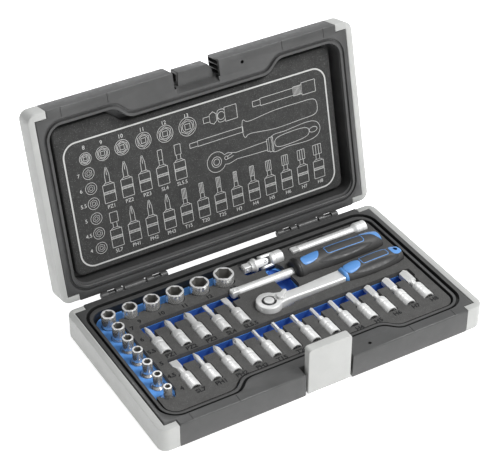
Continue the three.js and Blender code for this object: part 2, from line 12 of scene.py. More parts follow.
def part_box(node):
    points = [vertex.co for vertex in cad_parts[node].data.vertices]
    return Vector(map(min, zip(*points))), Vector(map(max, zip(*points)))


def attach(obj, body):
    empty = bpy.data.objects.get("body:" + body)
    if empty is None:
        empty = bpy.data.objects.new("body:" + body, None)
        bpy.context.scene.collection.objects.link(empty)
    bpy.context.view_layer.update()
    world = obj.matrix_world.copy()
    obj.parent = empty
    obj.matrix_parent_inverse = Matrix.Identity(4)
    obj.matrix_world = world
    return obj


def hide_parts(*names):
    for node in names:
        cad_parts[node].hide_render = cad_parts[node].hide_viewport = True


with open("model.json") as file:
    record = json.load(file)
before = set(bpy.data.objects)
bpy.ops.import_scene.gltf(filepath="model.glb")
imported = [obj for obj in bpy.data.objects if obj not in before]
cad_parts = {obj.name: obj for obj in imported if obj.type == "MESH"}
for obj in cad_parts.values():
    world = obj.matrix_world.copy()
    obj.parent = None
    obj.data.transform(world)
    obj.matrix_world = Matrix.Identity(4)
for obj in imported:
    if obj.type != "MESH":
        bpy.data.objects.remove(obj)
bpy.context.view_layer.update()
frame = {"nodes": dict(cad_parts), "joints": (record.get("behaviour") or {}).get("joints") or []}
MM = 0.001
JOINTS = {j["name"]: j for j in frame["joints"]}
SCENE = bpy.context.scene


def cad(node):
    """Lowest and highest corner of a CAD node in millimetres."""
    lo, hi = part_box(node)
    return np.array(lo) / MM, np.array(hi) / MM


# ---- camera, made first ----
EYE = Vector((-0.53296, -0.85615, 0.8446))
SIGHT = Vector((0.392547, 0.688451, -0.609870)).normalized()
UP = Vector((0.309801, 0.525371, 0.792470))
lens = bpy.data.cameras.new("camera")
camera = bpy.data.objects.new("camera", lens)
SCENE.collection.objects.link(camera)
side = SIGHT.cross(UP).normalized()
top = side.cross(SIGHT)
camera.matrix_world = Matrix((
    (side.x, top.x, -SIGHT.x, EYE.x),
    (side.y, top.y, -SIGHT.y, EYE.y),
    (side.z, top.z, -SIGHT.z, EYE.z),
    (0, 0, 0, 1)))
lens.lens = 114.57
lens.sensor_width = 36
lens.shift_x = 0.0458
lens.shift_y = 0.0623
lens.clip_end = 20
SCENE.camera = camera

# ---- materials ----


def node_material(name, base, rough, metal=0.0, coat=0.0, grain=1400, bump=0.15, depth=0.00012,
                  tint=0.12, blotch=60, rough_spread=0.08, speck=None):
    """A shader with fine grain in its relief, slow variation in colour and roughness, and optional specks."""
    m = bpy.data.materials.new(name)
    m.use_nodes = True
    tree = m.node_tree
    link, new = tree.links.new, tree.nodes.new
    shader = tree.nodes["Principled BSDF"]
    shader.inputs["Metallic"].default_value = metal
    shader.inputs["Coat Weight"].default_value = coat
    shader.inputs["Coat Roughness"].default_value = 0.2
    where = new("ShaderNodeTexCoord").outputs["Object"]

    def noise(scale, detail):
        n = new("ShaderNodeTexNoise")
        n.inputs["Scale"].default_value = scale
        n.inputs["Detail"].default_value = detail
        link(where, n.inputs["Vector"])
        return n.outputs["Fac"]

    def spread(source, low, high):
        n = new("ShaderNodeMapRange")
        n.inputs["From Min"].default_value = 0.3
        n.inputs["From Max"].default_value = 0.7
        n.inputs["To Min"].default_value = low
        n.inputs["To Max"].default_value = high
        link(source, n.inputs["Value"])
        return n.outputs["Result"]

    slow = noise(blotch, 4)
    fine = noise(grain, 2)
    colour = new("ShaderNodeMix")
    colour.data_type = "RGBA"
    colour.inputs[6].default_value = (*[c * (1 - tint) for c in base], 1)
    colour.inputs[7].default_value = (*[min(1, c * (1 + tint)) for c in base], 1)
    link(spread(slow, 0, 1), colour.inputs[0])
    result = colour.outputs[2]
    if speck:
        dots = new("ShaderNodeTexVoronoi")
        dots.inputs["Scale"].default_value = speck[0]
        link(where, dots.inputs["Vector"])
        keep = new("ShaderNodeMapRange")
        keep.inputs["From Min"].default_value = 0.38
        keep.inputs["From Max"].default_value = 0.12
        link(dots.outputs["Distance"], keep.inputs["Value"])
        mask = new("ShaderNodeMath")
        mask.operation = "MULTIPLY"
        link(keep.outputs["Result"], mask.inputs[0])
        link(spread(noise(speck[0] * 0.45, 1), 0, speck[1]), mask.inputs[1])
        over = new("ShaderNodeMix")
        over.data_type = "RGBA"
        over.inputs[7].default_value = (*speck[2], 1)
        link(mask.outputs[0], over.inputs[0])
        link(result, over.inputs[6])
        result = over.outputs[2]
    link(result, shader.inputs["Base Color"])
    link(spread(noise(blotch * 3.1, 3), rough - rough_spread, rough + rough_spread), shader.inputs["Roughness"])
    relief = new("ShaderNodeBump")
    relief.inputs["Strength"].default_value = bump
    relief.inputs["Distance"].default_value = depth
    link(fine, relief.inputs["Height"])
    link(relief.outputs["Normal"], shader.inputs["Normal"])
    return m


SHELL = node_material("shell_plastic", (0.055, 0.055, 0.0545), 0.4, grain=900, bump=0.3, coat=0.05)
CAP = node_material("cap_plastic", (0.44, 0.443, 0.43), 0.45, grain=1100, bump=0.22, tint=0.04)
FOAM = node_material("black_foam", (0.07, 0.069, 0.067), 0.9, grain=1500, bump=0.7, depth=0.0003, tint=0.12,
                     blotch=120, speck=(1000, 0.55, (0.19, 0.19, 0.185)))
PAD = node_material("pad_foam", (0.036, 0.036, 0.035), 0.9, grain=1500, bump=0.7, depth=0.0003, tint=0.15,
                    blotch=120, speck=(900, 0.75, (0.16, 0.16, 0.157)))
BLUE = node_material("blue_foam", (0.10, 0.31, 0.76), 0.8, grain=1500, bump=0.5, depth=0.0003, tint=0.12,
                     blotch=120, speck=(1000, 0.4, (0.16, 0.4, 0.8)))
# Painted shade: a darker copy of the blue foam for the deep pocket and slot floors, where shade falls.
SHADED_BLUE = node_material("blue_foam_painted_shade", (0.03, 0.12, 0.46), 0.8, grain=1500, bump=0.5, depth=0.0003, tint=0.12,
                          blotch=120)
# Painted shade: the steel hinge pins are made near-black so the knuckle windows read as shaded.
SHADED_PIN = node_material("hinge_pin", (0.10, 0.10, 0.10), 0.4, metal=0.5, grain=2400, bump=0.1)
CHROME = node_material("chrome", (0.86, 0.86, 0.85), 0.24, metal=0.85, grain=2600, bump=0.015, tint=0.02,
                       rough_spread=0.04)
SATIN = node_material("satin_chrome", (0.80, 0.80, 0.79), 0.4, metal=0.4, grain=2600, bump=0.03, tint=0.03,
                      rough_spread=0.05)
# Painted shade: a darker copy of the chrome for the inside of the socket bores.
BORE_SHADE = node_material("socket_bore_painted_shade", (0.36, 0.35, 0.33), 0.4, metal=0.6, grain=2600, bump=0.05, tint=0.05)
STEEL = node_material("steel_pin", (0.42, 0.42, 0.43), 0.38, metal=1.0, grain=2400, bump=0.1)
GRIP = node_material("grip_rubber", (0.05, 0.049, 0.048), 0.5, grain=1600, bump=0.3, tint=0.1)
# Near-black: the dark rubber of the spinner collar and grip recesses and the top of the ratchet gear, and painted shade
# on the inner walls of the base shell.
DARK_RUBBER_AND_SHADE = node_material("dark_rubber_and_painted_shade", (0.016, 0.016, 0.016), 0.42, grain=1600, bump=0.3, tint=0.15)
LIGHT_BLUE = node_material("blue_grip", (0.10, 0.29, 0.66), 0.4, grain=1600, bump=0.12, tint=0.05, coat=0.1)
PRINT = node_material("white_print", (0.55, 0.55, 0.535), 0.6, grain=2400, bump=0.1, tint=0.06)
INK = node_material("dark_print", (0.004, 0.004, 0.005), 0.9, grain=2400, bump=0.1, tint=0.1)

# ---- shapes: each is (vertices, faces) in millimetres ----


def flat_offset(outline, inward):
    """A closed counter-clockwise outline moved inwards by the same distance on every side."""
    p = np.asarray(outline, float)
    before, after = p - np.roll(p, 1, 0), np.roll(p, -1, 0) - p
    normals = []
    for d in (before, after):
        d = d / np.maximum(np.linalg.norm(d, axis=1, keepdims=True), 1e-9)
        normals.append(np.stack([-d[:, 1], d[:, 0]], 1))
    total = normals[0] + normals[1]
    scale = 1 + np.sum(normals[0] * normals[1], 1, keepdims=True)
    return p + inward * total / np.maximum(scale, 0.2)


def at_height(outline, z):
    p = np.asarray(outline, float)
    return np.column_stack([p, np.full(len(p), float(z))])


def loft(rings, start=True, end=True):
    """Closed rings of equal length joined in order; the first and last are filled if asked."""
    n = len(rings[0])
    verts = np.vstack(rings)
    faces = []
    for k in range(len(rings) - 1):
        a, b = k * n, (k + 1) * n
        faces += [(a + i, a + (i + 1) % n, b + (i + 1) % n, b + i) for i in range(n)]
    if start:
        faces.append(tuple(range(n))[::-1])
    if end:
        last = (len(rings) - 1) * n
        faces.append(tuple(range(last, last + n)))
    return verts, faces


def between(outer, inner):
    """The flat face between two rings, as triangles."""
    loops = [[Vector(p) for p in outer], [Vector(p) for p in inner]]
    return np.vstack([outer, inner]), [tuple(t) for t in tessellate_polygon(loops)]


def join(*shapes):
    verts, faces, start = [], [], 0
    for v, f in shapes:
        verts.append(np.asarray(v, float))
        faces += [tuple(i + start for i in face) for face in f]
        start += len(v)
    return np.vstack(verts), faces


def moved(shape, matrix):
    m = np.array(matrix)
    return np.asarray(shape[0], float) @ m[:3, :3].T + m[:3, 3], shape[1]


def shifted(shape, x=0, y=0, z=0):
    return np.asarray(shape[0], float) + (x, y, z), shape[1]


def circle(r, n=32, x=0.0, y=0.0, start=0.0):
    a = np.arange(n) * 2 * math.pi / n + start
    return np.column_stack([x + r * np.cos(a), y + r * np.sin(a)])


def polygon(width, sides):
    """A regular outline given by its width across flats, with a flat facing +X."""
    return circle(width / 2 / math.cos(math.pi / sides), sides, start=math.pi / sides)


def rounded(x0, x1, y0, y1, r, n=6):
    """A rectangle with round corners, counter-clockwise."""
    r = min(r, (x1 - x0) / 2 - 1e-3, (y1 - y0) / 2 - 1e-3)
    corners = [(x1 - r, y0 + r, -90), (x1 - r, y1 - r, 0), (x0 + r, y1 - r, 90), (x0 + r, y0 + r, 180)]
    points = []
    for cx, cy, first in corners:
        for k in range(n + 1):
            a = math.radians(first + 90 * k / n)
            points.append((cx + r * math.cos(a), cy + r * math.sin(a)))
    return np.array(points)


def prism(outline, z0, z1, edge=0.0):
    """An extruded outline; edge rounds both rims inwards."""
    if not edge:
        return loft([at_height(outline, z0), at_height(outline, z1)])
    steps = [(1, 0), (0.35, 0.12), (0.12, 0.35), (0, 1)]
    low = [at_height(flat_offset(outline, edge * i), z0 + edge * h) for i, h in steps]
    high = [at_height(flat_offset(outline, edge * i), z1 - edge * h) for i, h in steps[::-1]]
    return loft(low + high)


def block(x0, x1, y0, y1, z0, z1):
    return prism([(x0, y0), (x1, y0), (x1, y1), (x0, y1)], z0, z1)


def turned(profile, n=48):
    """A body of revolution about Z from (radius, z) pairs, lowest first."""
    return loft([at_height(circle(max(r, 1e-4), n), z) for r, z in profile])


ALONG_X = Matrix.Rotation(math.pi / 2, 4, "Y")
ALONG_Y = Matrix.Rotation(-math.pi / 2, 4, "X")


def turn(axis, degrees, about=(0, 0, 0)):
    at = Matrix.Translation(Vector(about))
    return at @ Matrix.Rotation(math.radians(degrees), 4, axis) @ at.inverted()


# ---- objects ----


def piece(name, shape, material, body=None, replaces=(), smooth=35, bevel=0.0, frame_of=None):
    """Makes an object from a shape. frame_of places it, such as in the open lid."""
    verts, faces = moved(shape, frame_of) if frame_of is not None else shape
    mesh = bpy.data.meshes.new(name)
    mesh.from_pydata([tuple(v) for v in np.asarray(verts) * MM], [], [tuple(f) for f in faces])
    b = bmesh.new()
    b.from_mesh(mesh)
    bmesh.ops.remove_doubles(b, verts=b.verts, dist=1e-7)
    bmesh.ops.recalc_face_normals(b, faces=b.faces)
    b.to_mesh(mesh)
    b.free()
    mesh.materials.append(material)
    obj = bpy.data.objects.new(name, mesh)
    SCENE.collection.objects.link(obj)
    if body:
        dress(obj, body, replaces, smooth, bevel)
    return obj


def dress(obj, body, replaces=(), smooth=35, bevel=0.0):
    """Shading, edge rounding, and the body that the piece rides on."""
    mesh = obj.data
    if bevel:
        round_off = obj.modifiers.new("edges", "BEVEL")
        round_off.width = bevel * MM
        round_off.segments = 2
        round_off.limit_method = "ANGLE"
        round_off.angle_limit = math.radians(38)
        round_off.harden_normals = True
    mesh.shade_smooth()
    mesh.set_sharp_from_angle(angle=math.radians(smooth))
    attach(obj, body)
    if replaces:
        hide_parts(*replaces)
    return obj


def carve(obj, shapes, mode="DIFFERENCE"):
    """Cuts the shapes out of obj, or joins them on, one after another."""
    for shape in shapes:
        tool = piece("cutter", shape, obj.data.materials[0])
        cut = obj.modifiers.new("cut", "BOOLEAN")
        cut.operation = mode
        cut.solver = "MANIFOLD"
        cut.object = tool
        graph = bpy.context.evaluated_depsgraph_get()
        graph.update()
        result = bpy.data.meshes.new_from_object(obj.evaluated_get(graph))
        obj.modifiers.clear()
        old, obj.data = obj.data, result
        bpy.data.meshes.remove(old)
        spent = tool.data
        bpy.data.objects.remove(tool)
        bpy.data.meshes.remove(spent)
    return obj


def second_material(obj, material, test):
    """Gives the faces that pass the test one more material."""
    obj.data.materials.append(material)
    index = len(obj.data.materials) - 1
    for face in obj.data.polygons:
        if test(np.array(face.center) / MM, np.array(face.normal)):
            face.material_index = index
    return obj


def place(obj, matrix):
    obj.data.transform(Matrix.Scale(MM, 4) @ matrix @ Matrix.Scale(1 / MM, 4))


def clean(obj):
    """Joins coplanar faces left by carving."""
    b = bmesh.new()
    b.from_mesh(obj.data)
    bmesh.ops.remove_doubles(b, verts=b.verts, dist=2e-6)
    bmesh.ops.dissolve_limit(b, angle_limit=math.radians(0.8), verts=b.verts, edges=b.edges)
    b.to_mesh(obj.data)
    b.free()
    return obj


# ---- case ----
HALF_DEPTH = 82.64
CAP_END = 133.84
TICK_X = (80.8, 121.6)
CASE_TOP = 43.7
lid_joint = JOINTS["lid_hinge"]
HINGE = Vector(lid_joint["pos_m"]) / MM
LID_OPEN = turn("X", lid_joint["range_deg"][0], HINGE)


def tray(inset, rear=None, n=10):
    """The sealing line moved inwards, with its S steps at the front."""
    rear = 75.8 - (inset if rear is None else rear)
    half, front, middle = 139 - inset, -72.3 + inset, -61.3 + inset
    r = 16 - inset
    start, end = 58 + 0.45 * inset, 80 + 0.45 * inset
    mid = (start + end) / 2
    control = [(start, middle), (mid, middle), (mid, front), (end, front)]
    t = np.linspace(0, 1, 14)[:, None]
    c = [np.array(p) for p in control]
    s = (1 - t) ** 3 * c[0] + 3 * t * (1 - t) ** 2 * c[1] + 3 * t * t * (1 - t) * c[2] + t ** 3 * c[3]
    points = [tuple(p) for p in s]
    for cx, cy, first in ((half - r, front + r, -90), (half - r, rear - r, 0)):
        for k in range(n + 1):
            a = math.radians(first + 90 * k / n)
            points.append((cx + r * math.cos(a), cy + r * math.sin(a)))
    return np.array(points + [(-x, y) for x, y in points[::-1]])


def shell_outline(notch_left, notch_right, notch_back):
    wide, deep, rear = 143.7, CAP_END - 0.3, HALF_DEPTH + 0.6
    side = [(deep, -HALF_DEPTH), (deep, -76.03), (wide, -76.03), (wide, 76.86), (deep, 76.86), (deep, rear)]
    right = [(notch_right, notch_back), (notch_right, -HALF_DEPTH)] + side
    left = [(notch_left, notch_back), (notch_left, -HALF_DEPTH)] + side
    return np.array(right + [(-x, y) for x, y in left[::-1]])


def rim_steps(outline, steps):
    return [at_height(flat_offset(outline, i), z) for i, z in steps]


def front_edge(outline, steps):
    """A rounded edge that is wider on the front half than on the rear half."""
    front = outline[:, 1:] < 0
    return [at_height(np.where(front, flat_offset(outline, i), flat_offset(outline, min(i, 0.3))), z) for i, z in steps]


def tray_steps(steps):
    return [at_height(tray(*s[:-1]), s[-1]) for s in steps]


# base shell
outline = shell_outline(21.9, 21.9, -72.5)
outer = rim_steps(outline, [(2.0, 0), (1.0, 0.3), (0.3, 1.0), (0, 2.0)])
outer += front_edge(outline, [(0, 21.6), (0.25, 22.4), (0.8, 22.87), (1.5, 23.0)])
inner = tray_steps([(-1.6, 23.0), (-1.3, 22.9), (-1.2, 22.6), (-1.2, 18.5), (1.2, 18.5), (1.2, 21.7),
                    (1.5, 22.0), (3.6, 5.3, 22.0), (3.9, 5.7, 21.8), (4.0, 5.8, 21.4), (4.0, 5.8, 2.5)])
base = join(loft(outer, end=False), between(outer[-1], inner[0]), loft(inner, start=False))
base_shell = piece("base_shell_look", base, SHELL)
# Painted shade: the inner walls of the base shell below the rim are made near-black for the shade in the gap behind the
# foam.
second_material(base_shell, DARK_RUBBER_AND_SHADE, lambda c, n: 2.6 < c[2] < 21.9 and abs(c[0]) < 140.6 and c[1] < 77.4
                and c[1] > (-73.7 if abs(c[0]) > 25 else -71))


def knuckle(sign, index, lid):
    pin_lo, pin_hi = cad("right_hinge_pin")
    length = (pin_hi[0] - pin_lo[0] - 2.4) / 3
    a = pin_lo[0] + index * (length + 1.2)
    x0 = a if sign > 0 else -a - length
    barrel = moved(turned([(2.3, 0), (2.8, 0.5), (2.8, length - 0.5), (2.3, length)], 32), ALONG_X)
    barrel = shifted(barrel, x0, HINGE.y, HINGE.z)
    low, high = (0.6, 2.7) if lid else (-2.7, -0.2)
    web = block(x0 + 0.2, x0 + length - 0.2, HALF_DEPTH - 1, HINGE.y, HINGE.z + low, HINGE.z + high)
    return barrel, web, (x0, x0 + length)


def ticks(sign, low, high):
    """Two short marks cut into the front edge."""
    return [block(sign * x - 0.25, sign * x + 0.25, -HALF_DEPTH - 1, -74.6, low, high) for x in TICK_X]


def across(sign, near, far):
    """The span from near to far on one side of the middle, lowest first."""
    return min(sign * near, sign * far), max(sign * near, sign * far)


def hinge_bore(sign):
    return shifted(moved(turned([(1.3, 0), (1.3, 70)], 24), ALONG_X), 50 if sign > 0 else -120, HINGE.y, HINGE.z)


for sign in (-1, 1):
    for index in (0, 2):
        barrel, web, (x0, x1) = knuckle(sign, index, False)
        mid = (x0 + x1) / 2
        window = block(mid - 3.6, mid + 3.6, HINGE.y - 4, HINGE.y + 4, HINGE.z + 0.9, HINGE.z + 4)
        carve(base_shell, [barrel, web], "UNION")
        carve(base_shell, [window])
    carve(base_shell, [hinge_bore(sign)])
    carve(base_shell, ticks(sign, 22.6, 24))
pivot = Vector(JOINTS["latch_hinge"]["pos_m"]) / MM
pivot_hole = shifted(moved(turned([(1.3, 0), (1.3, 48)], 24), ALONG_X), -24, pivot.y, pivot.z)
carve(base_shell, [pivot_hole, shifted(turned([(1.5, 0), (1.5, 6)], 24), 42, -75.6, 18.5)])
dress(base_shell, "base", ("base_shell",))

# lid shell, drawn closed
outline = shell_outline(21.7, 20.6, -68.5)
outer = rim_steps(outline, [(0.5, 23.3), (0.12, 23.55), (0, 24.0), (0, 41.7), (0.3, 42.7), (1.0, 43.4), (2.0, 43.7)])
inner = tray_steps([(-1.4, 23.3), (-1.1, 23.4), (-1.0, 23.7), (-1.0, 24.8), (1.3, 24.8), (1.3, 22.7), (1.6, 22.35),
                    (3.3, 22.35), (3.65, 22.7), (3.7, 24.3), (4.0, 5.8, 24.6), (4.0, 5.8, 41.2)])
lid = join(loft(outer, start=False), between(outer[0], inner[0]), loft(inner, start=False))
lid_shell = piece("lid_shell_look", lid, SHELL)
ramp = loft([np.array([(-20, -64.5, 22), (19.4, -64.5, 22), (19.4, -69, 22), (-20, -69, 22)], float),
             np.array([(-20, -64.5, 23.3), (19.4, -64.5, 23.3), (19.4, -69, 23.3), (-20, -69, 23.3)], float),
             np.array([(-17.6, -68.3, 29.4), (17.6, -68.3, 29.4), (17.6, -69, 29.4), (-17.6, -69, 29.4)], float)])
carve(lid_shell, [ramp])
catch = np.array([(-15.6, -68.0), (-15.4, -72.0), (-14.4, -79.2), (-13.8, -79.7), (13.0, -79.7), (13.8, -79.2),
                  (17.0, -74.0), (17.4, -68.0)])
carve(lid_shell, [prism(catch, 29.5, 42.4, 0.6)], "UNION")
hollows = []
for sign in (-1, 1):
    end = rounded(*across(sign, 12, 19), -77.6, -70.2, 1.0)
    hollows.append(prism(end, 32.5, 40.6, 0.8))
    for y0, y1 in ((-81.3, -77.9), (-77.0, -73.4), (-72.5, -69.3)):
        hollows.append(prism(rounded(*across(sign, 19, 33), y0, y1, 0.8), 26, 42.3, 0.8))
    hollows.append(block(*across(sign, 18.4, 21.8), -68.6, -66.6, 24.5, 30.0))
carve(lid_shell, hollows)
for sign in (-1, 1):
    barrel, web, (x0, x1) = knuckle(sign, 1, True)
    mid = (x0 + x1) / 2
    carve(lid_shell, [barrel, web], "UNION")
    slot = block(mid - 4, mid + 4, HINGE.y + 1.6, HINGE.y + 4, HINGE.z - 0.8, HINGE.z + 1.0)
    carve(lid_shell, [slot, hinge_bore(sign)])
    carve(lid_shell, ticks(sign, 22, 23.7))
carve(lid_shell, [shifted(turned([(1.5, 0), (1.5, 6)], 24), 42.2, -74.9, 21.6)])
place(lid_shell, LID_OPEN)
dress(lid_shell, "lid", ("lid_shell",))


def cap_outline(sign):
    points = [(CAP_END, -HALF_DEPTH)]
    for cy, first in ((8 - HALF_DEPTH, -90), (HALF_DEPTH - 8, 0)):
        for k in range(13):
            a = math.radians(first + 90 * k / 12)
            points.append((142 + 8 * math.cos(a), cy + 8 * math.sin(a)))
    points += [(CAP_END, HALF_DEPTH), (CAP_END, 77.16), (144, 77.16), (144, -76.33), (CAP_END, -76.33)]
    p = np.array(points)
    return p if sign > 0 else (p * (-1, 1))[::-1]


ROUND_LOW = [(2.4, 0), (1.25, 0.25), (0.45, 0.9), (0.1, 1.8), (0, 2.8)]
for sign, word in ((-1, "left"), (1, "right")):
    o = cap_outline(sign)
    low = rim_steps(o, ROUND_LOW + [(0, 22.1), (0.2, 22.7), (0.7, 23.0)])
    piece(f"base_{word}_cap_look", loft(low), CAP, "base", (f"base_{word}_cap",))
    high = rim_steps(o, [(0.7, 23.3), (0.2, 23.6), (0, 24.2)] + [(i, CASE_TOP - h) for i, h in ROUND_LOW[::-1]])
    piece(f"lid_{word}_cap_look", loft(high), CAP, "lid", (f"lid_{word}_cap",), frame_of=LID_OPEN)

for word in ("left", "right"):
    pin_lo, pin_hi = cad(word + "_hinge_pin")
    radius, run = (pin_hi[1] - pin_lo[1]) / 2, pin_hi[0] - pin_lo[0]
    pin = turned([(radius - 0.3, 0), (radius, 0.3), (radius, run - 0.3), (radius - 0.3, run)], 24)
    pin = shifted(moved(pin, ALONG_X), pin_lo[0], HINGE.y, HINGE.z)
    # The pins take the near-black steel: painted shade in the knuckle windows.
    piece(word + "_hinge_pin_look", pin, SHADED_PIN, "base", (word + "_hinge_pin",))

# latch
lo, hi = cad("front_latch")
bottom, top = rounded(lo[0], hi[0], lo[2], hi[2], 0.7), rounded(lo[0], hi[0], lo[2], hi[2], 3.0)
front = np.where(top[:, 1:] > 20, top, bottom)
to_front = Matrix(((1, 0, 0, 0), (0, 0, 1, 0), (0, 1, 0, 0), (0, 0, 0, 1)))
latch = piece("latch_look", moved(prism(front, lo[1], hi[1], 0.65), to_front), CAP)
carve(latch, [block(lo[0] + 2, hi[0] - 2, lo[1] + 2.2, hi[1] + 1, lo[2] - 1, hi[2] - 2.4)])
wedge = [(hi[1] - 1, hi[2] - 2.4), (hi[1] + 1, hi[2] - 2.4), (hi[1] + 1, lo[2] - 1), (hi[1] - 2.2, lo[2] - 1)]
wedge = moved(prism(wedge, -30, 30), Matrix(((0, 0, 1, 0), (1, 0, 0, 0), (0, 1, 0, 0), (0, 0, 0, 1))))
carve(latch, [wedge, pivot_hole])
dress(latch, "latch", ("front_latch",))

# ---- foams ----
FOAM_TOP, FOAM_SPLIT = 20.7, 16.0
sockets = {n: cad(n) for n in frame["nodes"] if n.startswith("socket_")}
bits = {n: cad(n) for n in frame["nodes"] if n.startswith("bit_")}


def middle(box):
    return (box[0] + box[1]) / 2


ext_lo, ext_hi = cad("extension_bar")
ext_mid = (ext_lo + ext_hi) / 2
spin_lo, spin_hi = cad("spinner_grip")
shaft_lo, shaft_hi = cad("spinner_shaft")
spin_mid = (spin_lo + spin_hi) / 2
uj_pivot = Vector(JOINTS["uj_cross_hinge"]["pos_m"]) / MM
uj_lo, uj_hi = cad("uj_drive_yoke")[0], cad("uj_socket_yoke")[1]
head = Vector(JOINTS["ratchet_drive_spin"]["pos_m"]) / MM
selector = Vector(JOINTS["ratchet_lever_hinge"]["pos_m"]) / MM
RATCHET_TURN = 1.5
HEAD_Z = 20.5
in_ratchet = Matrix.Translation((head.x, head.y, HEAD_Z)) @ Matrix.Rotation(math.radians(RATCHET_TURN), 4, "Z")
flat_ratchet = Matrix.Translation((head.x, head.y, 0)) @ Matrix.Rotation(math.radians(RATCHET_TURN), 4, "Z")


def catmull(points, n):
    """A smooth run through (s, value) points, sampled n times."""
    p = np.array(points, float)
    s = np.linspace(p[0, 0], p[-1, 0], n)
    slopes = np.gradient(p[:, 1], p[:, 0])
    k = np.clip(np.searchsorted(p[:, 0], s) - 1, 0, len(p) - 2)
    h = p[k + 1, 0] - p[k, 0]
    t = (s - p[k, 0]) / h
    v = ((2 * t ** 3 - 3 * t ** 2 + 1) * p[k, 1] + (t ** 3 - 2 * t ** 2 + t) * h * slopes[k]
         + (3 * t ** 2 - 2 * t ** 3) * p[k + 1, 1] + (t ** 3 - t ** 2) * h * slopes[k + 1])
    return s, v


SPINNER_PROFILE = [(0, 9.2), (2, 10.4), (5, 10.6), (9, 9.8), (18, 10.0), (30, 10.9), (46, 11.0),
                   (62, 10.5), (74, 9.9), (82, 9.0), (86, 7.4), (87.9, 4.2)]
RATCHET_PROFILE = [(73, 6.8), (75, 7.8), (81, 9.0), (93, 10.2), (107, 10.4), (119, 9.7), (128, 8.2),
                   (132.5, 6.0), (134.4, 2.6)]


def grip_outline(profile, extra, n=40):
    s, r = catmull(profile, n)
    side_run = np.column_stack([s, -(r + extra)])
    other = np.column_stack([s, r + extra])[::-1]
    return np.vstack([side_run, other])


def shared_pockets():
    """Pockets that go through the black foam into the blue."""
    top_z = FOAM_TOP + 2
    cuts = []
    for name, (lo_b, hi_b) in bits.items():
        x = (lo_b[0] + hi_b[0]) / 2
        narrow = {"bit_h8": 5.2, "bit_h7": 4.7, "bit_h6": 4.2}.get(name, 3.9)
        cuts.append(prism(rounded(x - 5.5, x + 5.5, lo_b[1] - 0.8, lo_b[1] + 19.3, 1.2), 12.5, top_z))
        cuts.append(prism(rounded(x - narrow, x + narrow, lo_b[1] + 8, hi_b[1] + 0.6, 1.2), 12.5, top_z))
    y, z = ext_mid[1], ext_mid[2]
    cuts.append(prism(rounded(ext_lo[0] - 0.7, 120, y - 4.3, y + 4.3, 0.8), z - 4.3, top_z))
    cuts.append(prism(rounded(116, ext_hi[0] + 0.6, y - 6.4, y + 6.4, 1.0), z - 6.4, top_z))
    cuts.append(prism(rounded(71.5, 90, y + 2, 67.4, 2.5), 8, top_z))
    cuts.append(prism(rounded(uj_lo[0] - 0.9, 31, uj_pivot.y - 8.6, uj_pivot.y + 8.6, 2.0), uj_pivot.z - 2.5, top_z))
    cuts.append(prism(rounded(uj_lo[0] - 0.9, 31, uj_pivot.y - 6.7, uj_pivot.y + 6.7, 2.0), uj_pivot.z - 8, top_z))
    cuts.append(prism(rounded(28, uj_hi[0] + 0.8, uj_pivot.y - 6.6, uj_pivot.y + 6.6, 1.5), uj_pivot.z - 6.6, top_z))
    y, z = spin_mid[1], spin_mid[2]
    cuts.append(prism(rounded(shaft_lo[0] - 0.8, 46, y - 4.4, y + 4.4, 0.8), z - 4.4, top_z))
    cuts.append(shifted(prism(grip_outline(SPINNER_PROFILE, 0.7), z - 11.6, top_z), spin_lo[0], y, 0))
    in_flat = [prism(circle(11.6, 40), 12.7, top_z), prism(rounded(0, 20, -9.4, 9.4, 2), 12.7, top_z),
               prism([(8, -7.4), (76, -7.4), (76, 7.4), (8, 7.4)], 15.2, top_z),
               prism(grip_outline(RATCHET_PROFILE, 0.6), 10.7, top_z), prism(circle(5.3, 24), 6.6, top_z)]
    return cuts + [moved(c, flat_ratchet) for c in in_flat]


recess_x = 27.5
CUT_LOW, CUT_TOP = 10, 23
black = piece("tray_foam_look", prism(tray(5.8, 7.6), FOAM_SPLIT + 0.3, FOAM_TOP), FOAM)
cuts = shared_pockets()
cuts.append(prism(rounded(recess_x - 8, recess_x + 8, 14, 54, 7.5, 8), CUT_LOW, CUT_TOP))
BIT_SLOTS = ((bits["bit_sl7"][0][1], bits["bit_h8"][1][0] + 1.5),
             (bits["bit_pz1"][0][1], bits["bit_sl5_5"][1][0] + 6.5))
for row_y, last_x in BIT_SLOTS:
    cuts.append(prism(rounded(-106, last_x, row_y + 28.4, row_y + 39.9, 2.0), CUT_LOW, CUT_TOP))
cuts.append(prism(rounded(-140, -115.6, -44, 80, 1.5), CUT_LOW, CUT_TOP))
cuts.append(prism(rounded(-140, -9, 54.1, 80, 1.5), CUT_LOW, CUT_TOP))
for lo_s, hi_s in sockets.values():
    x, y, _ = middle((lo_s, hi_s))
    cuts.append(shifted(prism(circle((hi_s[0] - lo_s[0]) / 2 + 0.6, 40), CUT_LOW, CUT_TOP), x, y))
carve(black, cuts)
clean(black)
dress(black, "base", ("tray_foam",), bevel=0.35)

blue = piece("tray_base_foam_look", prism(tray(5.8, 7.6), 2.8, FOAM_SPLIT), BLUE)
cuts = shared_pockets()
scoop = moved(turned([(8 * math.sin(a), -math.cos(a) * 8) for a in np.linspace(0, math.pi, 24)], 40),
              Matrix.Translation((recess_x, 34, FOAM_SPLIT)) @ Matrix.Diagonal((1, 2.4, 0.85, 1)))
cuts.append(scoop)
for row_y, last_x in BIT_SLOTS:
    cuts.append(prism(rounded(-105.8, last_x - 0.2, row_y + 28.6, row_y + 39.7, 2.0), 8.5, CUT_TOP))
for lo_s, hi_s in sockets.values():
    x, y, _ = middle((lo_s, hi_s))
    r = (hi_s[0] - lo_s[0]) / 2 + 0.4
    cuts.append(shifted(prism(circle(r, 40), lo_s[2] - 0.3, CUT_TOP), x, y))
carve(blue, cuts)
clean(blue)
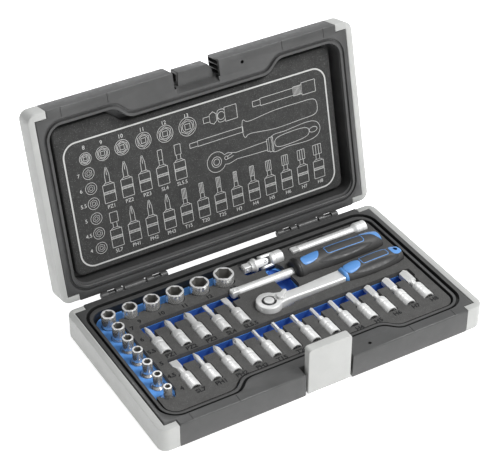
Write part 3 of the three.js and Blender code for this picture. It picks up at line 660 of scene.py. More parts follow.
# Painted shade: blue faces below the split, in the pockets and slots, take the darker blue.
second_material(blue, SHADED_BLUE, lambda c, n: c[2] < FOAM_SPLIT - 0.4 and (c[0] > -107 or c[1] > 60))
dress(blue, "base", ("tray_base_foam",), bevel=0.3)

PAD_FACE = 31.6
pad_steps = [(9.6, 40.6), (9.0, 40.2), (9.0, 33.2), (9.3, 32.3), (10.1, 31.75), (11.2, PAD_FACE)]
pad = loft(tray_steps(pad_steps))
pad = piece("lid_pad_look", pad, PAD, "lid", ("lid_pad",), frame_of=LID_OPEN)

# ---- tools ----
SQUARE = 6.35
DETENT = SQUARE / 2 - 0.45
DETENT_FROM_END = 3.4


def cone(r0, r1, z0, z1, n=40):
    return turned([(r0, z0), (r1, z1)], n)


def drive_hole(z0, z1):
    return prism(polygon(SQUARE + 0.1, 4), z0, z1)


def square_drive(z0, z1, depth=0.9):
    """A square drive with chamfered end at z0."""
    def ring(width, z):
        return at_height(rounded(-width / 2, width / 2, -width / 2, width / 2, 0.7, 3), z)
    return loft([ring(SQUARE - 2 * depth, z0), ring(SQUARE, z0 + depth), ring(SQUARE, z1)])


def socket_piece(name, lo_s, hi_s):
    size = float(name[7:-2].replace("_", "."))
    x, y, _ = middle((lo_s, hi_s))
    length = hi_s[2] - lo_s[2]
    foot = (hi_s[0] - lo_s[0]) / 2 if size < 8 else max(5.9, (hi_s[0] - lo_s[0]) * 0.43)
    r = {4: 3.45, 4.5: 3.8, 5: 4.15, 5.5: 4.4, 6: 4.65, 7: 5.2}.get(size, (hi_s[0] - lo_s[0]) / 2)
    taper = [(foot + (r - foot) * (1 - math.cos(t * math.pi)) / 2, 11.4 + 3.4 * t) for t in np.linspace(0, 1, 8)]
    profile = [(foot - 0.7, 0), (foot - 0.2, 0.2), (foot, 0.7), (foot, 4.0), (foot - 0.25, 4.25), (foot - 0.25, 5.0),
               (foot, 5.25)] + taper + [(r, length - 0.5), (r - 0.12, length - 0.14), (r - 0.35, length)]
    obj = piece(name + "_look", turned(profile, 64), CHROME)
    hexagon = size / 2 / math.cos(math.pi / 6)
    wide = min(size / 2 + 0.45, r - 0.6)
    carve(obj, [prism(polygon(size, 6), 8.4, length + 1), cone(size / 2 - 0.2, wide, length - 0.5, length + 0.2),
                drive_hole(-1, 8.5), cone(5.0, 3.2, -0.5, 1.0)])
    inner = hexagon * 0.93 + 0.05
    second_material(obj, SATIN, lambda c, n: n[2] > 0.4 and c[2] > length - 0.7)
    # Painted shade: faces inside the hex bore take the darker bore material.
    second_material(obj, BORE_SHADE, lambda c, n: math.hypot(c[0], c[1]) < inner and 1 < c[2] < length - 0.3)
    obj.data.transform(Matrix.Translation((x * MM, y * MM, lo_s[2] * MM)))
    dress(obj, name + "_piece", (name,), smooth=30)


for name, (lo_s, hi_s) in sockets.items():
    socket_piece(name, lo_s, hi_s)

BIT_LENGTH, BODY_END, BODY_R = 38.0, 18.5, 5.3


def bit_body():
    profile = [(4.75, 0), (5.15, 0.15), (BODY_R, 0.55), (BODY_R, 6.4), (5.08, 6.6), (5.08, 7.1), (5.22, 7.3)]
    profile += [(5.22, 11.3), (5.08, 11.5), (5.08, 12.0), (BODY_R, 12.2), (BODY_R, 17.2), (5.0, 17.9), (4.3, 18.35),
                (3.6, BODY_END), (3.0, BODY_END)]
    verts, faces = turned(profile, 72)
    for i, (x, y, z) in enumerate(verts):
        if 7.2 < z < 11.4 and i % 72 % 2:
            verts[i, :2] *= 0.978
    return verts, faces


def lobes(r, depth, n=48):
    a = np.arange(n) * 2 * math.pi / n
    k = r * (1 - depth * (1 - np.cos(6 * a)) / 2)
    return np.column_stack([k * np.cos(a), k * np.sin(a)])


def blade(width, shank):
    """A round shank that flattens into a straight tip."""
    rings = []
    for z, w, t in ((17, shank, shank), (26, shank, shank), (28, shank * 1.02, shank * 0.8),
                    (31, max(width / 2, shank * 0.7), 0.9), (BIT_LENGTH - 0.2, width / 2, 0.5),
                    (BIT_LENGTH, width / 2 - 0.1, 0.42)):
        a = np.arange(48) * 2 * math.pi / 48
        k = min(1, (z - 26) / 4) if z > 26 else 0
        power = 2 / (2 + 10 * k)
        c, s = np.cos(a), np.sin(a)
        rings.append(np.column_stack([w * np.sign(c) * abs(c) ** power, t * np.sign(s) * abs(s) ** power,
                                      np.full(48, z)]))
    return loft(rings)


def bit_shank(kind, size):
    """The shank and its tip, and what is cut from them."""
    if kind == "sl":
        return [blade(size, 2.0 if size < 5 else 2.5 if size < 6 else 3.0)], []
    if kind in ("ph", "pz"):
        r = {1: 2.35, 2: 3.0, 3: 3.7}[size]
        rod = turned([(r, 17), (r, BIT_LENGTH - 6), (r * 0.93, BIT_LENGTH - 5), (0.75, BIT_LENGTH - 0.3),
                      (0.4, BIT_LENGTH)], 40)
        flutes = []
        for k in range(4):
            notch = [(0.62, 0.62), (6, 2.4), (6, 6), (2.4, 6)]
            low = at_height(np.array(notch) * (1.9, 1.9), BIT_LENGTH - 8.5)
            high = at_height(np.array(notch), BIT_LENGTH + 0.5)
            flutes.append(moved(loft([low, high]), Matrix.Rotation(k * math.pi / 2, 4, "Z")))
        if kind == "pz":
            flutes += [moved(block(-3, 3, -0.18, 0.18, BIT_LENGTH - 2.2, BIT_LENGTH + 1),
                             Matrix.Rotation(math.pi / 4 + k * math.pi / 2, 4, "Z")) for k in range(2)]
        return [rod], flutes
    if kind == "t":
        r = {15: 1.64, 20: 1.93, 25: 2.22}[size]
        shape = [at_height(lobes(r * k, 0.24), z) for k, z in ((1, 25), (1, BIT_LENGTH - 0.4), (0.8, BIT_LENGTH))]
        rod = turned([(2.9, 17), (2.9, 25), (r, 27.5), (r * 0.9, 28)], 40)
        return [rod, loft(shape)], []
    ends = ((0.9, 24.2), (0, 24.6), (0, BIT_LENGTH - 0.5), (0.9, BIT_LENGTH))
    tip = [at_height(polygon(size - c, 6), z) for c, z in ends]
    neck = min(3.1, size / 2 * 0.92) if size > 5 else 2.9
    rod = turned([(neck, 17), (neck, 23.6), (min(neck, size / 2 * 0.96), 25)], 40)
    return [rod, loft(tip)], []


BODY = bit_body()
for name, (lo_b, hi_b) in bits.items():
    kind = name[4:].rstrip("0123456789_")
    size = float(name[4 + len(kind):].replace("_", "."))
    obj = piece(name + "_look", BODY, SATIN)
    parts, flutes = bit_shank(kind, size)
    carve(obj, parts, "UNION")
    carve(obj, flutes + [drive_hole(-1, 9.0), cone(5.2, 3.3, -0.7, 1.0)])
    second_material(obj, SATIN, lambda c, n: c[2] > BODY_END + 0.2 or math.hypot(c[0], c[1]) < 4.4 and c[2] < 9.2)
    x, _, z = middle((lo_b, hi_b))
    obj.data.transform(Matrix.Translation((x * MM, lo_b[1] * MM, z * MM)) @ ALONG_Y)
    dress(obj, name + "_piece", (name,), smooth=30)


# universal joint, drawn along X round its pivot
def fork(length, foot_profile):
    """A yoke whose ears reach back to the pivot; drawn along +X with the ears above and below."""
    body = moved(turned(foot_profile, 56), ALONG_X)
    round_rod = moved(turned([(6.2, -3.3), (6.2, 8.5)], 56), ALONG_X)
    obj = piece("fork", body, SATIN)
    for sign in (-1, 1):
        ear = np.vstack([circle(3.1, 24, start=math.pi / 2)[:13], [(8.2, -3.6), (8.2, 3.6)]])
        z = (3.45, 7) if sign > 0 else (-7, -3.45)
        half = piece("ear", prism(ear, *z), CHROME)
        carve(half, [round_rod], "INTERSECT")
        shape = (np.array([v.co for v in half.data.vertices]) / MM, [tuple(p.vertices) for p in half.data.polygons])
        bpy.data.objects.remove(half)
        carve(obj, [shape], "UNION")
    carve(obj, [turned([(1.45, -9), (1.45, 9)], 24)])
    return obj


reach = uj_hi[0] - uj_pivot.x
yoke = fork(reach, [(4.6, 6.0), (5.9, 7.2), (6.2, 8.2), (6.2, 10.2), (5.95, 10.4), (5.95, 11.0), (6.2, 11.2),
                    (6.2, reach - 0.6), (5.7, reach)])
carve(yoke, [moved(moved(drive_hole(reach - 9, reach + 1), ALONG_X), Matrix.Rotation(math.pi / 4, 4, "X")),
             moved(cone(3.3, 4.9, reach - 1.0, reach + 0.5), ALONG_X)])
place(yoke, Matrix.Translation(uj_pivot) @ Matrix.Rotation(-math.pi / 4, 4, "X"))
yoke.name = "uj_socket_yoke_look"
dress(yoke, "uj_socket_end", ("uj_socket_yoke",), smooth=30)
reach = uj_pivot.x - uj_lo[0]
yoke = fork(reach, [(4.6, 6.0), (5.9, 7.0), (6.2, 7.8), (6.2, 9.0), (5.2, 10.4), (4.9, 12.2), (4.4, 12.6)])
drive = moved(square_drive(-reach, -12), ALONG_X)
drive = moved(drive, Matrix.Rotation(math.pi / 4, 4, "X") @ Matrix.Rotation(math.pi, 4, "Z"))
carve(yoke, [drive], "UNION")
ball = [(1.15 * math.sin(t), -1.15 * math.cos(t)) for t in np.linspace(0, math.pi, 10)]


def detent(x, z):
    return shifted(turned(ball, 20), x, 0, z)


carve(yoke, [moved(detent(reach - DETENT_FROM_END, DETENT), Matrix.Rotation(-math.pi / 4, 4, "X"))], "UNION")
place(yoke, Matrix.Translation(uj_pivot) @ Matrix.Rotation(math.pi, 4, "Z") @ Matrix.Rotation(-math.pi / 4, 4, "X"))
yoke.name = "uj_drive_yoke_look"
dress(yoke, "uj_drive_end", ("uj_drive_yoke",), smooth=30)
cross = piece("uj_cross_look", block(-2.6, 2.6, -2.6, 2.6, -2.6, 2.6), STEEL)
pin = turned([(0.9, -6), (1.2, -5.7), (1.2, 5.7), (0.9, 6)], 24)
carve(cross, [pin, moved(pin, ALONG_Y)], "UNION")
place(cross, Matrix.Translation(uj_pivot) @ Matrix.Rotation(-math.pi / 4, 4, "X"))
dress(cross, "uj_centre", ("uj_cross",), bevel=0.3)

# extension bar
span = ext_hi[0] - ext_lo[0]
bar = [(3.0, 6.4), (3.6, 6.6), (4.0, 7.4), (4.0, span - 14.4), (4.3, span - 13), (5.5, span - 11), (6.0, span - 9.8),
       (6.0, span - 5.4), (5.8, span - 5.2), (5.8, span - 4.6), (6.0, span - 4.4), (6.0, span - 0.5), (5.5, span)]
extension = piece("extension_look", turned(bar, 56), SATIN)
carve(extension, [square_drive(0, 7.5), detent(DETENT, DETENT_FROM_END)], "UNION")
carve(extension, [drive_hole(span - 8.5, span + 1), cone(3.3, 5.0, span - 1, span + 0.6)])
extension.data.transform(Matrix.Translation((ext_lo[0] * MM, ext_mid[1] * MM, ext_mid[2] * MM)) @ ALONG_X)
dress(extension, "extension", ("extension_bar",), smooth=30)

# spinner shaft
run = shaft_hi[0] - shaft_lo[0]
shaft = piece("spinner_shaft_look", turned([(3.0, 6.4), (3.6, 6.6), (4.0, 7.4), (4.0, run)], 56), SATIN)
carve(shaft, [square_drive(0, 7.5), detent(-DETENT, DETENT_FROM_END)], "UNION")
shaft.data.transform(Matrix.Translation((shaft_lo[0] * MM, spin_mid[1] * MM, spin_mid[2] * MM)) @ ALONG_X)
dress(shaft, "spinner_handle", ("spinner_shaft",), smooth=30)


# ---- grips ----


class Grip:
    """A handle's surface along X. (s, t): distance along it, and arc from its top towards -Y on a 10 mm radius."""

    def __init__(self, profile, flat, recess, origin):
        self.profile = profile
        self.flat = flat
        self.recess = recess
        self.origin = origin
        self.s, self.r = catmull(profile, 400)

    def point(self, s, t, lift=0.0):
        a = t / 10
        r = np.interp(s, self.s, self.r) + lift
        s0, t0, half_s, half_t, depth = self.recess
        w = ((s - s0) / half_s) ** 2 + ((t - t0) / half_t) ** 2
        r = r - depth * np.clip(1 - w, 0, 1) ** 1.4
        return np.stack([s + 0 * r, -r * np.sin(a), self.flat * r * np.cos(a)], -1)

    def body(self, n=150, around=96):
        s = np.linspace(self.profile[0][0], self.profile[-1][0], n)
        t = -np.arange(around) * 20 * math.pi / around
        return loft([self.point(np.full(around, x), np.where(t < -10 * math.pi, t + 20 * math.pi, t)) for x in s])

    def pad(self, outline, lift, sunk=0.4, rings=10):
        """A raised patch whose outline is given in (s, t)."""
        p = np.asarray(outline, float)
        centre = p.mean(0)
        steps = [(1.0, -sunk), (1.0, lift * 0.2), (0.985, lift * 0.75), (0.95, lift)]
        steps += [(f, lift) for f in np.linspace(0.85, 0.02, rings)]
        made = [self.point(*(centre + (p - centre) * f).T, lift=h) for f, h in steps]
        return loft(made)

    def band(self, outline, width, lift, sunk=0.3):
        """A raised line along a closed outline in (s, t)."""
        out, inn = flat_offset(outline, -width / 2), flat_offset(outline, width / 2)
        steps = ((out, -sunk), (out, lift * 0.6), (flat_offset(out, 0.15), lift),
                 (flat_offset(inn, -0.15), lift), (inn, lift * 0.6), (inn, -sunk))
        loops = [self.point(*run.T, lift=h) for run, h in steps]
        return loft(loops + [loops[0]], start=False, end=False)


def smooth_outline(points, n=8):
    """A closed round outline through a few points."""
    p = np.array(points, float)
    run = []
    for k in range(len(p)):
        a, b, c, d = p[k - 1], p[k], p[(k + 1) % len(p)], p[(k + 2) % len(p)]
        for t in np.arange(n) / n:
            run.append(0.5 * (2 * b + (c - a) * t + (2 * a - 5 * b + 4 * c - d) * t * t
                              + (3 * b - a - 3 * c + d) * t ** 3))
    return np.array(run)


def dense(outline, step=0.8):
    """The same closed outline with more points along its straight sides."""
    p = np.asarray(outline, float)
    run = []
    for a, b in zip(p, np.roll(p, -1, 0)):
        n = max(1, int(np.linalg.norm(b - a) / step))
        run += [tuple(a + (b - a) * k / n) for k in range(n)]
    return np.array(run)


def oval(s, t, half_s, half_t, n=48):
    a = np.arange(n) * 2 * math.pi / n
    return np.column_stack([s + half_s * np.cos(a), t + half_t * np.sin(a)])


spin_frame = Matrix.Translation((spin_lo[0], spin_mid[1], spin_mid[2]))
spinner = Grip(SPINNER_PROFILE, 1.0, (48, 8.0, 27, 3.6, 1.0), spin_frame)
body = spinner.body()
obj = piece("spinner_grip_look", moved(body, spin_frame), GRIP)
bore = moved(turned([(4.15, -1), (4.15, 32)], 40), spin_frame @ ALONG_X)
carve(obj, [bore])
dress(obj, "spinner_handle", ("spinner_grip",), smooth=50)
ring = [(4.3, -0.6), (8.6, -0.6), (9.9, -0.1), (11.0, 1.6), (11.1, 3.2), (10.4, 4.6), (9.4, 5.0), (4.3, 5.0)]
collar = turned(ring, 64)
piece("spinner_collar", moved(collar, spin_frame @ ALONG_X), DARK_RUBBER_AND_SHADE, "spinner_handle", smooth=50)
blue_leaf = smooth_outline([(6.3, 2.0), (9, -2.6), (16, -4.0), (24, -3.6), (25.5, -1.5), (21.5, 4.2), (14, 6.6),
                            (8, 6.2)])
blue_end = smooth_outline([(69, -5), (76, -9.5), (83, -11), (87.2, -7), (87.4, 2), (86.2, 8.5), (83, 5.5),
                           (78, -0.5)])
for name, shape, material in (
        ("spinner_blue_patch", spinner.pad(blue_leaf, 0.35), LIGHT_BLUE),
        ("spinner_plate_line", spinner.band(dense(rounded(31.5, 69, -3.4, 4.4, 2.0, 5)), 0.6, 0.2), LIGHT_BLUE),
        ("spinner_recess", spinner.pad(oval(48, 8.0, 27, 3.6), 0.07, 0.1, 16), DARK_RUBBER_AND_SHADE),
        ("spinner_blue_end", spinner.pad(blue_end, 0.3), LIGHT_BLUE)):
    piece(name, moved(shape, spin_frame), material, "spinner_handle", smooth=60)

handle = Grip(RATCHET_PROFILE, 0.88, (103, 8.2, 24, 4.2, 1.2), in_ratchet)
obj = piece("ratchet_grip_look", moved(handle.body(120), in_ratchet), GRIP)
hang = moved(turned([(2.0, -14), (2.0, 14)], 32), in_ratchet @ Matrix.Translation((127.2, 0, 0)))
neck_hole = moved(block(60, 104.4, -4.2, 4.2, -3.4, 3.4), in_ratchet)
carve(obj, [neck_hole, hang])
dress(obj, "ratchet_handle", ("ratchet_grip",), smooth=50)
blue_leaf = smooth_outline([(74.2, 0), (76.5, -5.6), (83, -6.6), (89, -3.6), (90.3, 0), (88, 4.6), (82, 7.4),
                            (76.5, 7)])
for name, shape, material in (
        ("ratchet_blue_patch", handle.pad(blue_leaf, 0.35), LIGHT_BLUE),
        ("ratchet_plate_line", handle.band(dense(rounded(91.8, 118.5, -4.6, 3.6, 1.8, 5)), 0.6, 0.2), LIGHT_BLUE),
        ("ratchet_recess", handle.pad(oval(103, 8.2, 24, 4.2), 0.07, 0.1, 16), DARK_RUBBER_AND_SHADE)):
    piece(name, moved(shape, in_ratchet), material, "ratchet_handle", smooth=60)
blue_end = smooth_outline([(121.5, 0), (123, -5), (128, -6.6), (132.6, -4), (133.6, 0), (132.6, 4), (128, 6.6),
                           (123, 5)])
tail = handle.pad(blue_end, 0.3)
obj = piece("ratchet_blue_end", moved(tail, in_ratchet), LIGHT_BLUE)
carve(obj, [hang])
dress(obj, "ratchet_handle", smooth=60)
throat = [(6.0, 72.2), (6.9, 72.5), (7.3, 73.4), (7.9, 75.2), (7.6, 76.0), (5.0, 76.0)]
throat = moved(turned(throat, 64), ALONG_X @ Matrix.Diagonal((0.88, 1, 1, 1)))
piece("ratchet_blue_collar", moved(throat, in_ratchet), LIGHT_BLUE, "ratchet_handle", smooth=60)

# ---- ratchet, drawn round the middle of its head ----


def neck_ring(x, half_y, low, high, r):
    return np.column_stack([np.full(28, x), rounded(-half_y, half_y, low, high, r, 6)])


neck = loft([neck_ring(x, w, lo_n, hi_n, 1.6) for x, w, lo_n, hi_n in (
    (4, 8.6, -5.6, 5.1), (9, 7.4, -5.6, 5.1), (13, 6.3, -5.4, 4.9), (18, 5.6, -4.9, 4.2), (24, 5.1, -4.5, 3.6),
    (34, 5.2, -4.4, 3.3), (50, 5.8, -4.4, 3.3), (64, 6.3, -4.4, 3.3), (74, 6.4, -4.4, 3.3))])
disc = turned([(9.6, -6), (10.5, -5.7), (11, -5.0), (11, 4.4), (10.6, 5.1), (9.8, 5.5)], 96)
obj = piece("ratchet_body_look", disc, SATIN)
carve(obj, [neck, block(72, 103.8, -3.9, 3.9, -3.1, 3.1)], "UNION")
lever_x, lever_y = (selector - head).x, (selector - head).y
gear_bore = turned([(7.1, -7), (7.1, 3.5)], 64)
window = turned([(6.0, 3), (6.2, 4.9), (6.9, 6.0)], 64)
pawl_room = block(5, 15.5, -5.2, 4, -7, 3.5)
spindle = shifted(turned([(2.0, -7), (2.0, 8)], 32), lever_x, lever_y)
scoop = moved(turned([(4.6, 4.3), (4.6, 8)], 40),
              Matrix.Translation((lever_x + 0.6, lever_y, 0)) @ Matrix.Diagonal((1.25, 0.9, 1, 1)))
carve(obj, [gear_bore, window, pawl_room, spindle, scoop])
place(obj, in_ratchet)
dress(obj, "ratchet_handle", ("ratchet_body",), smooth=32)
cover = np.vstack([circle(9.6, 64)[6:-5], [(17, -4.4), (17, 4.4)]])
obj = piece("ratchet_cover_look", prism(cover, -7.5, -6.3, 0.3), SATIN)
screws = [shifted(turned([(1.0, -7.9), (1.0, -7.1)], 20), x, y) for x, y in ((-6.4, 3.9), (-6.4, -3.9), (14.2, 0))]
carve(obj, [turned([(5.2, -8), (5.2, -5)], 48)] + screws)
place(obj, in_ratchet)
dress(obj, "ratchet_handle", ("ratchet_cover",), smooth=32)
TOOTH_ROOT, TOOTH_TIP = 6.1, 6.7
teeth = [(TOOTH_ROOT if k % 2 else TOOTH_TIP, k * math.pi / 36) for k in range(72)]
teeth = np.array([(r * math.cos(a), r * math.sin(a)) for r, a in teeth])
obj = piece("ratchet_gear_look", prism(teeth, -4.3, 3.2), STEEL)
carve(obj, [turned([(5.7, 3.0), (5.7, 5.2), (5.3, 5.5)], 64), turned([(4.9, -8), (4.9, -4)], 64),
            square_drive(-13.8, -7.4), moved(turned(ball, 20), Matrix.Translation((0, -DETENT, -11)))], "UNION")
carve(obj, [turned([(4.6, 2.2), (4.6, 4.9), (4.9, 6)], 48)])
second_material(obj, DARK_RUBBER_AND_SHADE, lambda c, n: c[2] > 3.6)
place(obj, in_ratchet)
dress(obj, "ratchet_drive", ("ratchet_gear",), smooth=32)
dome = [(4.4, 3.9), (4.4, 5.6), (4.2, 5.95)]
dome += [(4.1 * math.cos(t), 5.9 + 0.5 * math.sin(t)) for t in np.linspace(0.15, 1.5, 6)]
piece("ratchet_button_look", moved(turned(dome, 48), in_ratchet), SATIN, "ratchet_button",
      ("ratchet_release_button",))
obj = piece("ratchet_lever_look", turned([(1.7, -3), (1.7, 4.6), (3.0, 4.9), (3.0, 6.6), (2.6, 7.0)], 40), SATIN)
arm = smooth_outline([(-1.0, 2.4), (-1.0, -2.4), (4, -1.8), (8.2, -1.5), (9.3, 0), (8.2, 1.5), (4, 1.8)], 6)
arm = moved(prism(arm, 5.4, 7.0, 0.4), Matrix.Rotation(0.5, 4, "Z"))
carve(obj, [arm, block(-2.2, 1.8, -2.6, 2.6, -3.9, 2.9)], "UNION")
place(obj, in_ratchet @ Matrix.Translation((lever_x, lever_y, 0)))
dress(obj, "ratchet_selector", ("ratchet_lever",), smooth=32)

# ---- printed sizes ----


def words(text, size, x, y, bold=0.0):
    """Raised flat lettering centred on (x, y), a tenth of a millimetre thick."""
    data = bpy.data.curves.new("words", "FONT")
    data.body = text
    data.size = size
    data.align_x = data.align_y = "CENTER"
    data.extrude = 0.05
    data.offset = bold
    data.resolution_u = 3
    obj = bpy.data.objects.new("words", data)
    SCENE.collection.objects.link(obj)
    graph = bpy.context.evaluated_depsgraph_get()
    graph.update()
    mesh = bpy.data.meshes.new_from_object(obj.evaluated_get(graph))
    shape = (np.array([v.co for v in mesh.vertices]), [tuple(p.vertices) for p in mesh.polygons])
    bpy.data.objects.remove(obj)
    bpy.data.curves.remove(data)
    bpy.data.meshes.remove(mesh)
    return shifted(shape, x, y)


def bit_text(name):
    return name[4:].upper().replace("_", ".")


LABEL_SIZE, LABEL_BOLD, PLAN_TEXT = 6.0, 0.22, 4.6
labels = []
for name, (lo_b, hi_b) in bits.items():
    labels.append(words(bit_text(name), LABEL_SIZE, (lo_b[0] + hi_b[0]) / 2 + 1.5, lo_b[1] - 5.2, 0.2))
for name, (lo_s, hi_s) in sockets.items():
    text = name[7:-2].replace("_", ".")
    x, y, _ = middle((lo_s, hi_s))
    if float(text) <= 7:
        labels.append(words(text, LABEL_SIZE, x + 12.5, y, LABEL_BOLD))
    elif float(text) > 8:
        labels.append(words(text, LABEL_SIZE, x + 2.5, y - 12.2, LABEL_BOLD))
piece("tray_print", shifted(join(*labels), 0, 0, FOAM_TOP + 0.02), INK, "base")

# ---- the plan printed on the lid pad: drawn upright, then turned into the lid ----
LINE = 0.4


def stroke(points, closed=True, width=LINE):
    """A line of even width along a run of points, a tenth of a millimetre thick."""
    p = np.asarray(points, float)
    if closed:
        area = np.sum(p[:, 0] * np.roll(p[:, 1], -1) - p[:, 1] * np.roll(p[:, 0], -1))
        p = p if area > 0 else p[::-1]
        a, b = flat_offset(p, -width / 2), flat_offset(p, width / 2)
        loops = [at_height(a, -0.05), at_height(a, 0.05), at_height(b, 0.05), at_height(b, -0.05)]
        return loft(loops + [loops[0]], start=False, end=False)
    d = np.gradient(p, axis=0)
    d /= np.linalg.norm(d, axis=1, keepdims=True)
    n = np.column_stack([-d[:, 1], d[:, 0]]) * width / 2
    return prism(np.vstack([p - n, (p + n)[::-1]]), -0.05, 0.05)


def line(x0, y0, x1, y1):
    return stroke([(x0, y0), (x1, y1)], False)


def frame_box(x0, x1, y0, y1, r=0.3):
    return stroke(rounded(x0, x1, y0, y1, r, 2))


def socket_icon(x, y, r, size):
    if size < 8:
        rings = [(circle(r, 32, x, y), 0.34), (circle(r * 0.66, 6, x, y, math.pi / 6), 0.26),
                 (circle(r * 0.3, 16, x, y), 0.26)]
        return [stroke(p, width=w) for p, w in rings]
    rings = [circle(r, 32, x, y), circle(r * 0.84, 6, x, y, math.pi / 6), circle(r * 0.6, 18, x, y),
             circle(r * 0.42, 4, x, y, math.pi / 4)]
    return [stroke(p, width=0.36) for p in rings]


def bit_icon(x, base, tip, name):
    """Body from base upwards, with a hatched band, a shank and a tip that ends at tip."""
    kind = name[4:].rstrip("0123456789_")
    size = float(name[4 + len(kind):].replace("_", "."))
    shapes = [frame_box(x - 5.2, x + 5.2, base, base + 15.8)]
    shapes += [line(x - 5.2, base + h, x + 5.2, base + h) for h in (7.6, 9.6)]
    shapes += [line(x - 5.0 + 1.3 * k, base + 7.7, x - 4.2 + 1.3 * k, base + 9.5) for k in range(8)]
    body, neck = base + 15.8, base + 17.4
    shapes.append(stroke([(x - 4.4, body), (x - 2.6, neck), (x + 2.6, neck), (x + 4.4, body)], False))
    if kind in ("ph", "pz"):
        shapes.append(stroke([(x - 2, neck), (x - 2, tip - 6), (x - 0.5, tip), (x + 0.5, tip), (x + 2, tip - 6),
                              (x + 2, neck)], False))
        shapes.append(line(x, tip - 1, x, tip - 7))
    else:
        half = {"sl": size / 2, "t": 1.9, "h": max(1.6, size / 2)}[kind]
        shapes.append(frame_box(x - 1.8, x + 1.8, neck, tip - 9))
        shapes.append(frame_box(x - half, x + half, tip - 9, tip))
        if kind != "sl":
            shapes.append(line(x - half / 3, tip - 9, x - half / 3, tip))
            shapes.append(line(x + half / 3, tip - 9, x + half / 3, tip))
    return shapes


plan = [stroke(rounded(-123.3, 123.3, -61.3, 47.3, 12, 10), width=1.3)]
BIG_SOCKETS = ((-105, "8", 5.2), (-89.5, "9", 6), (-72, "10", 6.5), (-52.5, "11", 7), (-32.5, "12", 7.3),
               (-11.5, "13", 8))
for x, text, r in BIG_SOCKETS:
    plan += socket_icon(x, 31.5, r, int(text)) + [words(text, 4.8, x, 41.0)]
for k, text in enumerate(("7", "6", "5.5", "5", "4.5", "4")):
    plan += socket_icon(-104.5, 18.5 - 13.3 * k, 5, 7) + [words(text, PLAN_TEXT, -113.5, 18.5 - 13.3 * k)]
ICON_X, ICON_PITCH = -89.3, 16.45
for k, name in enumerate(("bit_pz1", "bit_pz2", "bit_pz3", "bit_sl4", "bit_sl5_5")):
    x = ICON_X + ICON_PITCH * k
    plan += bit_icon(x, -11.5, 19.3, name) + [words(bit_text(name), PLAN_TEXT, x, -15.2)]
for k, name in enumerate(("bit_sl7", "bit_ph1", "bit_ph2", "bit_ph3", "bit_t15", "bit_t20", "bit_t25",
                          "bit_h3", "bit_h4", "bit_h5", "bit_h6", "bit_h7", "bit_h8")):
    x = ICON_X + ICON_PITCH * k
    plan += bit_icon(x, -51.5, -20.5, name) + [words(bit_text(name), PLAN_TEXT, x, -55.0)]
# ratchet
plan += [stroke(circle(4.6, 28, 10.5, -7)), stroke(circle(2.8, 20, 10.5, -7))]
top_side = [(60, -3.0), (45, -3.4), (30, -4.0), (22, -2.0)]
turn_run = [(10.5 + 9 * math.cos(a), -7 + 9 * math.sin(a)) for a in np.linspace(0.5, 2 * math.pi - 0.5, 26)]
plan.append(stroke(top_side + turn_run + [(22, -12), (30, -10), (45, -10.6), (60, -11)], False))
plan += [stroke(circle(1.6, 14, 20, -6)), line(21, -5, 26, -3.6), line(21, -7.4, 27, -6),
         frame_box(60, 62, -12.5, -1.5), frame_box(62, 66, -13.5, -0.5)]
grip_run = smooth_outline([(66, -14.5), (80, -13.6), (100, -14.5), (110, -12), (113.5, -6), (110, 0.5), (100, 2.5),
                           (80, 1), (66, 0.5), (65, -6)], 6)
plate_run = smooth_outline([(70, -11), (90, -11.4), (101, -9), (101, -3), (90, -1.2), (70, -3)], 6)
plan += [stroke(grip_run), stroke(plate_run)]
plan += [stroke(oval(106.5, -5.8, 4.0, 2.4, 20))]
# spinner handle
plan += [frame_box(-12, -4.5, 12.2, 16.2), frame_box(-4.5, 39, 11.8, 16.6)]
grip_run = smooth_outline([(40, 6.5), (46, 8.4), (70, 5.8), (95, 6.5), (110, 7.5), (113, 14), (110, 21), (95, 22),
                           (70, 22), (46, 19.6), (40, 22), (38.5, 14)], 6)
plan.append(stroke(grip_run))
# universal joint
plan += [frame_box(3.5, 9.5, 29.6, 34.4),
         stroke([(9.5, 28.5), (13, 26.5), (16, 29), (16, 35), (13, 37.5), (9.5, 35.5)]),
         stroke(circle(3.4, 20, 20.5, 32)), frame_box(17, 24, 26.5, 37.5, 2), frame_box(24, 35.5, 25.8, 38.2)]
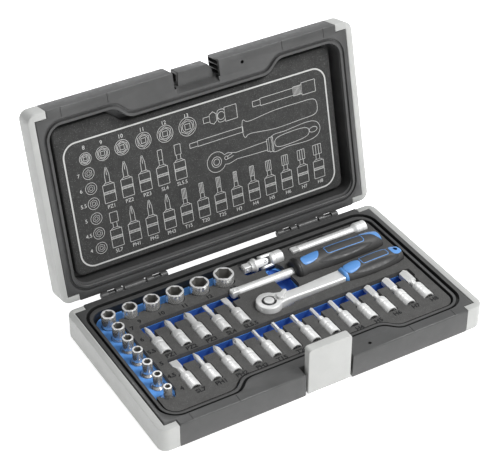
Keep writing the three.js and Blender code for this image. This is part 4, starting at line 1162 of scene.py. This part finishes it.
# extension bar
plan += [frame_box(51, 58.5, 30.6, 35.4), frame_box(58.5, 91, 29.8, 36.2), frame_box(91, 99.5, 29, 37),
         frame_box(99.5, 113, 27.5, 38.5)]
plan += [line(91 + 1.2 * k, 29.2, 91 + 1.2 * k, 36.8) for k in range(1, 7)]
pad_face = Matrix.Translation((0, 0, PAD_FACE - 0.04)) @ Matrix.Rotation(math.pi, 4, "X")
piece("lid_plan_print", moved(join(*plan), LID_OPEN @ pad_face), PRINT, "lid")

# ---- stage ----
floor = bpy.data.meshes.new("floor")
floor.from_pydata([(-6, -6, 0), (6, -6, 0), (6, 6, 0), (-6, 6, 0)], [], [(0, 1, 2, 3)])
FLOOR = node_material("floor_paper", (0.93, 0.93, 0.93), 0.8, grain=40, bump=0.02, tint=0.01, blotch=2)
glow = FLOOR.node_tree.nodes["Principled BSDF"].inputs
glow["Emission Color"].default_value = (1, 1, 1, 1)
glow["Emission Strength"].default_value = 0.65
floor.materials.append(FLOOR)
floor_obj = bpy.data.objects.new("floor", floor)
floor_obj.location.z = -0.0002
SCENE.collection.objects.link(floor_obj)

world = bpy.data.worlds.new("studio")
world.use_nodes = True
sky_nodes, sky_link = world.node_tree.nodes, world.node_tree.links.new
background = sky_nodes["Background"]
background.inputs["Color"].default_value = (0.97, 0.985, 1.0, 1)
across_x = sky_nodes.new("ShaderNodeSeparateXYZ")
level = sky_nodes.new("ShaderNodeMapRange")
level.inputs["From Min"].default_value = -1
level.inputs["To Min"].default_value = 0.2
level.inputs["To Max"].default_value = 0.9
sky = sky_nodes.new("ShaderNodeTexCoord")
sky_link(sky.outputs["Generated"], across_x.inputs["Vector"])
sky_link(across_x.outputs["X"], level.inputs["Value"])
sky_link(level.outputs["Result"], background.inputs["Strength"])
SCENE.world = world


def area_light(name, place, power, size, target=(0, 0, 0.03)):
    data = bpy.data.lights.new(name, "AREA")
    data.energy = power
    data.shape = "DISK"
    data.size = size
    obj = bpy.data.objects.new(name, data)
    obj.location = place
    obj.rotation_euler = (Vector(target) - Vector(place)).to_track_quat("-Z", "Y").to_euler()
    SCENE.collection.objects.link(obj)


area_light("key", (0.75, -0.6, 1.5), 18, 0.5)
area_light("fill", (0.25, -1.5, 0.9), 5, 0.8)
area_light("back", (0.1, 1.3, 1.5), 9, 0.7)
SCENE.view_settings.view_transform = "Standard"
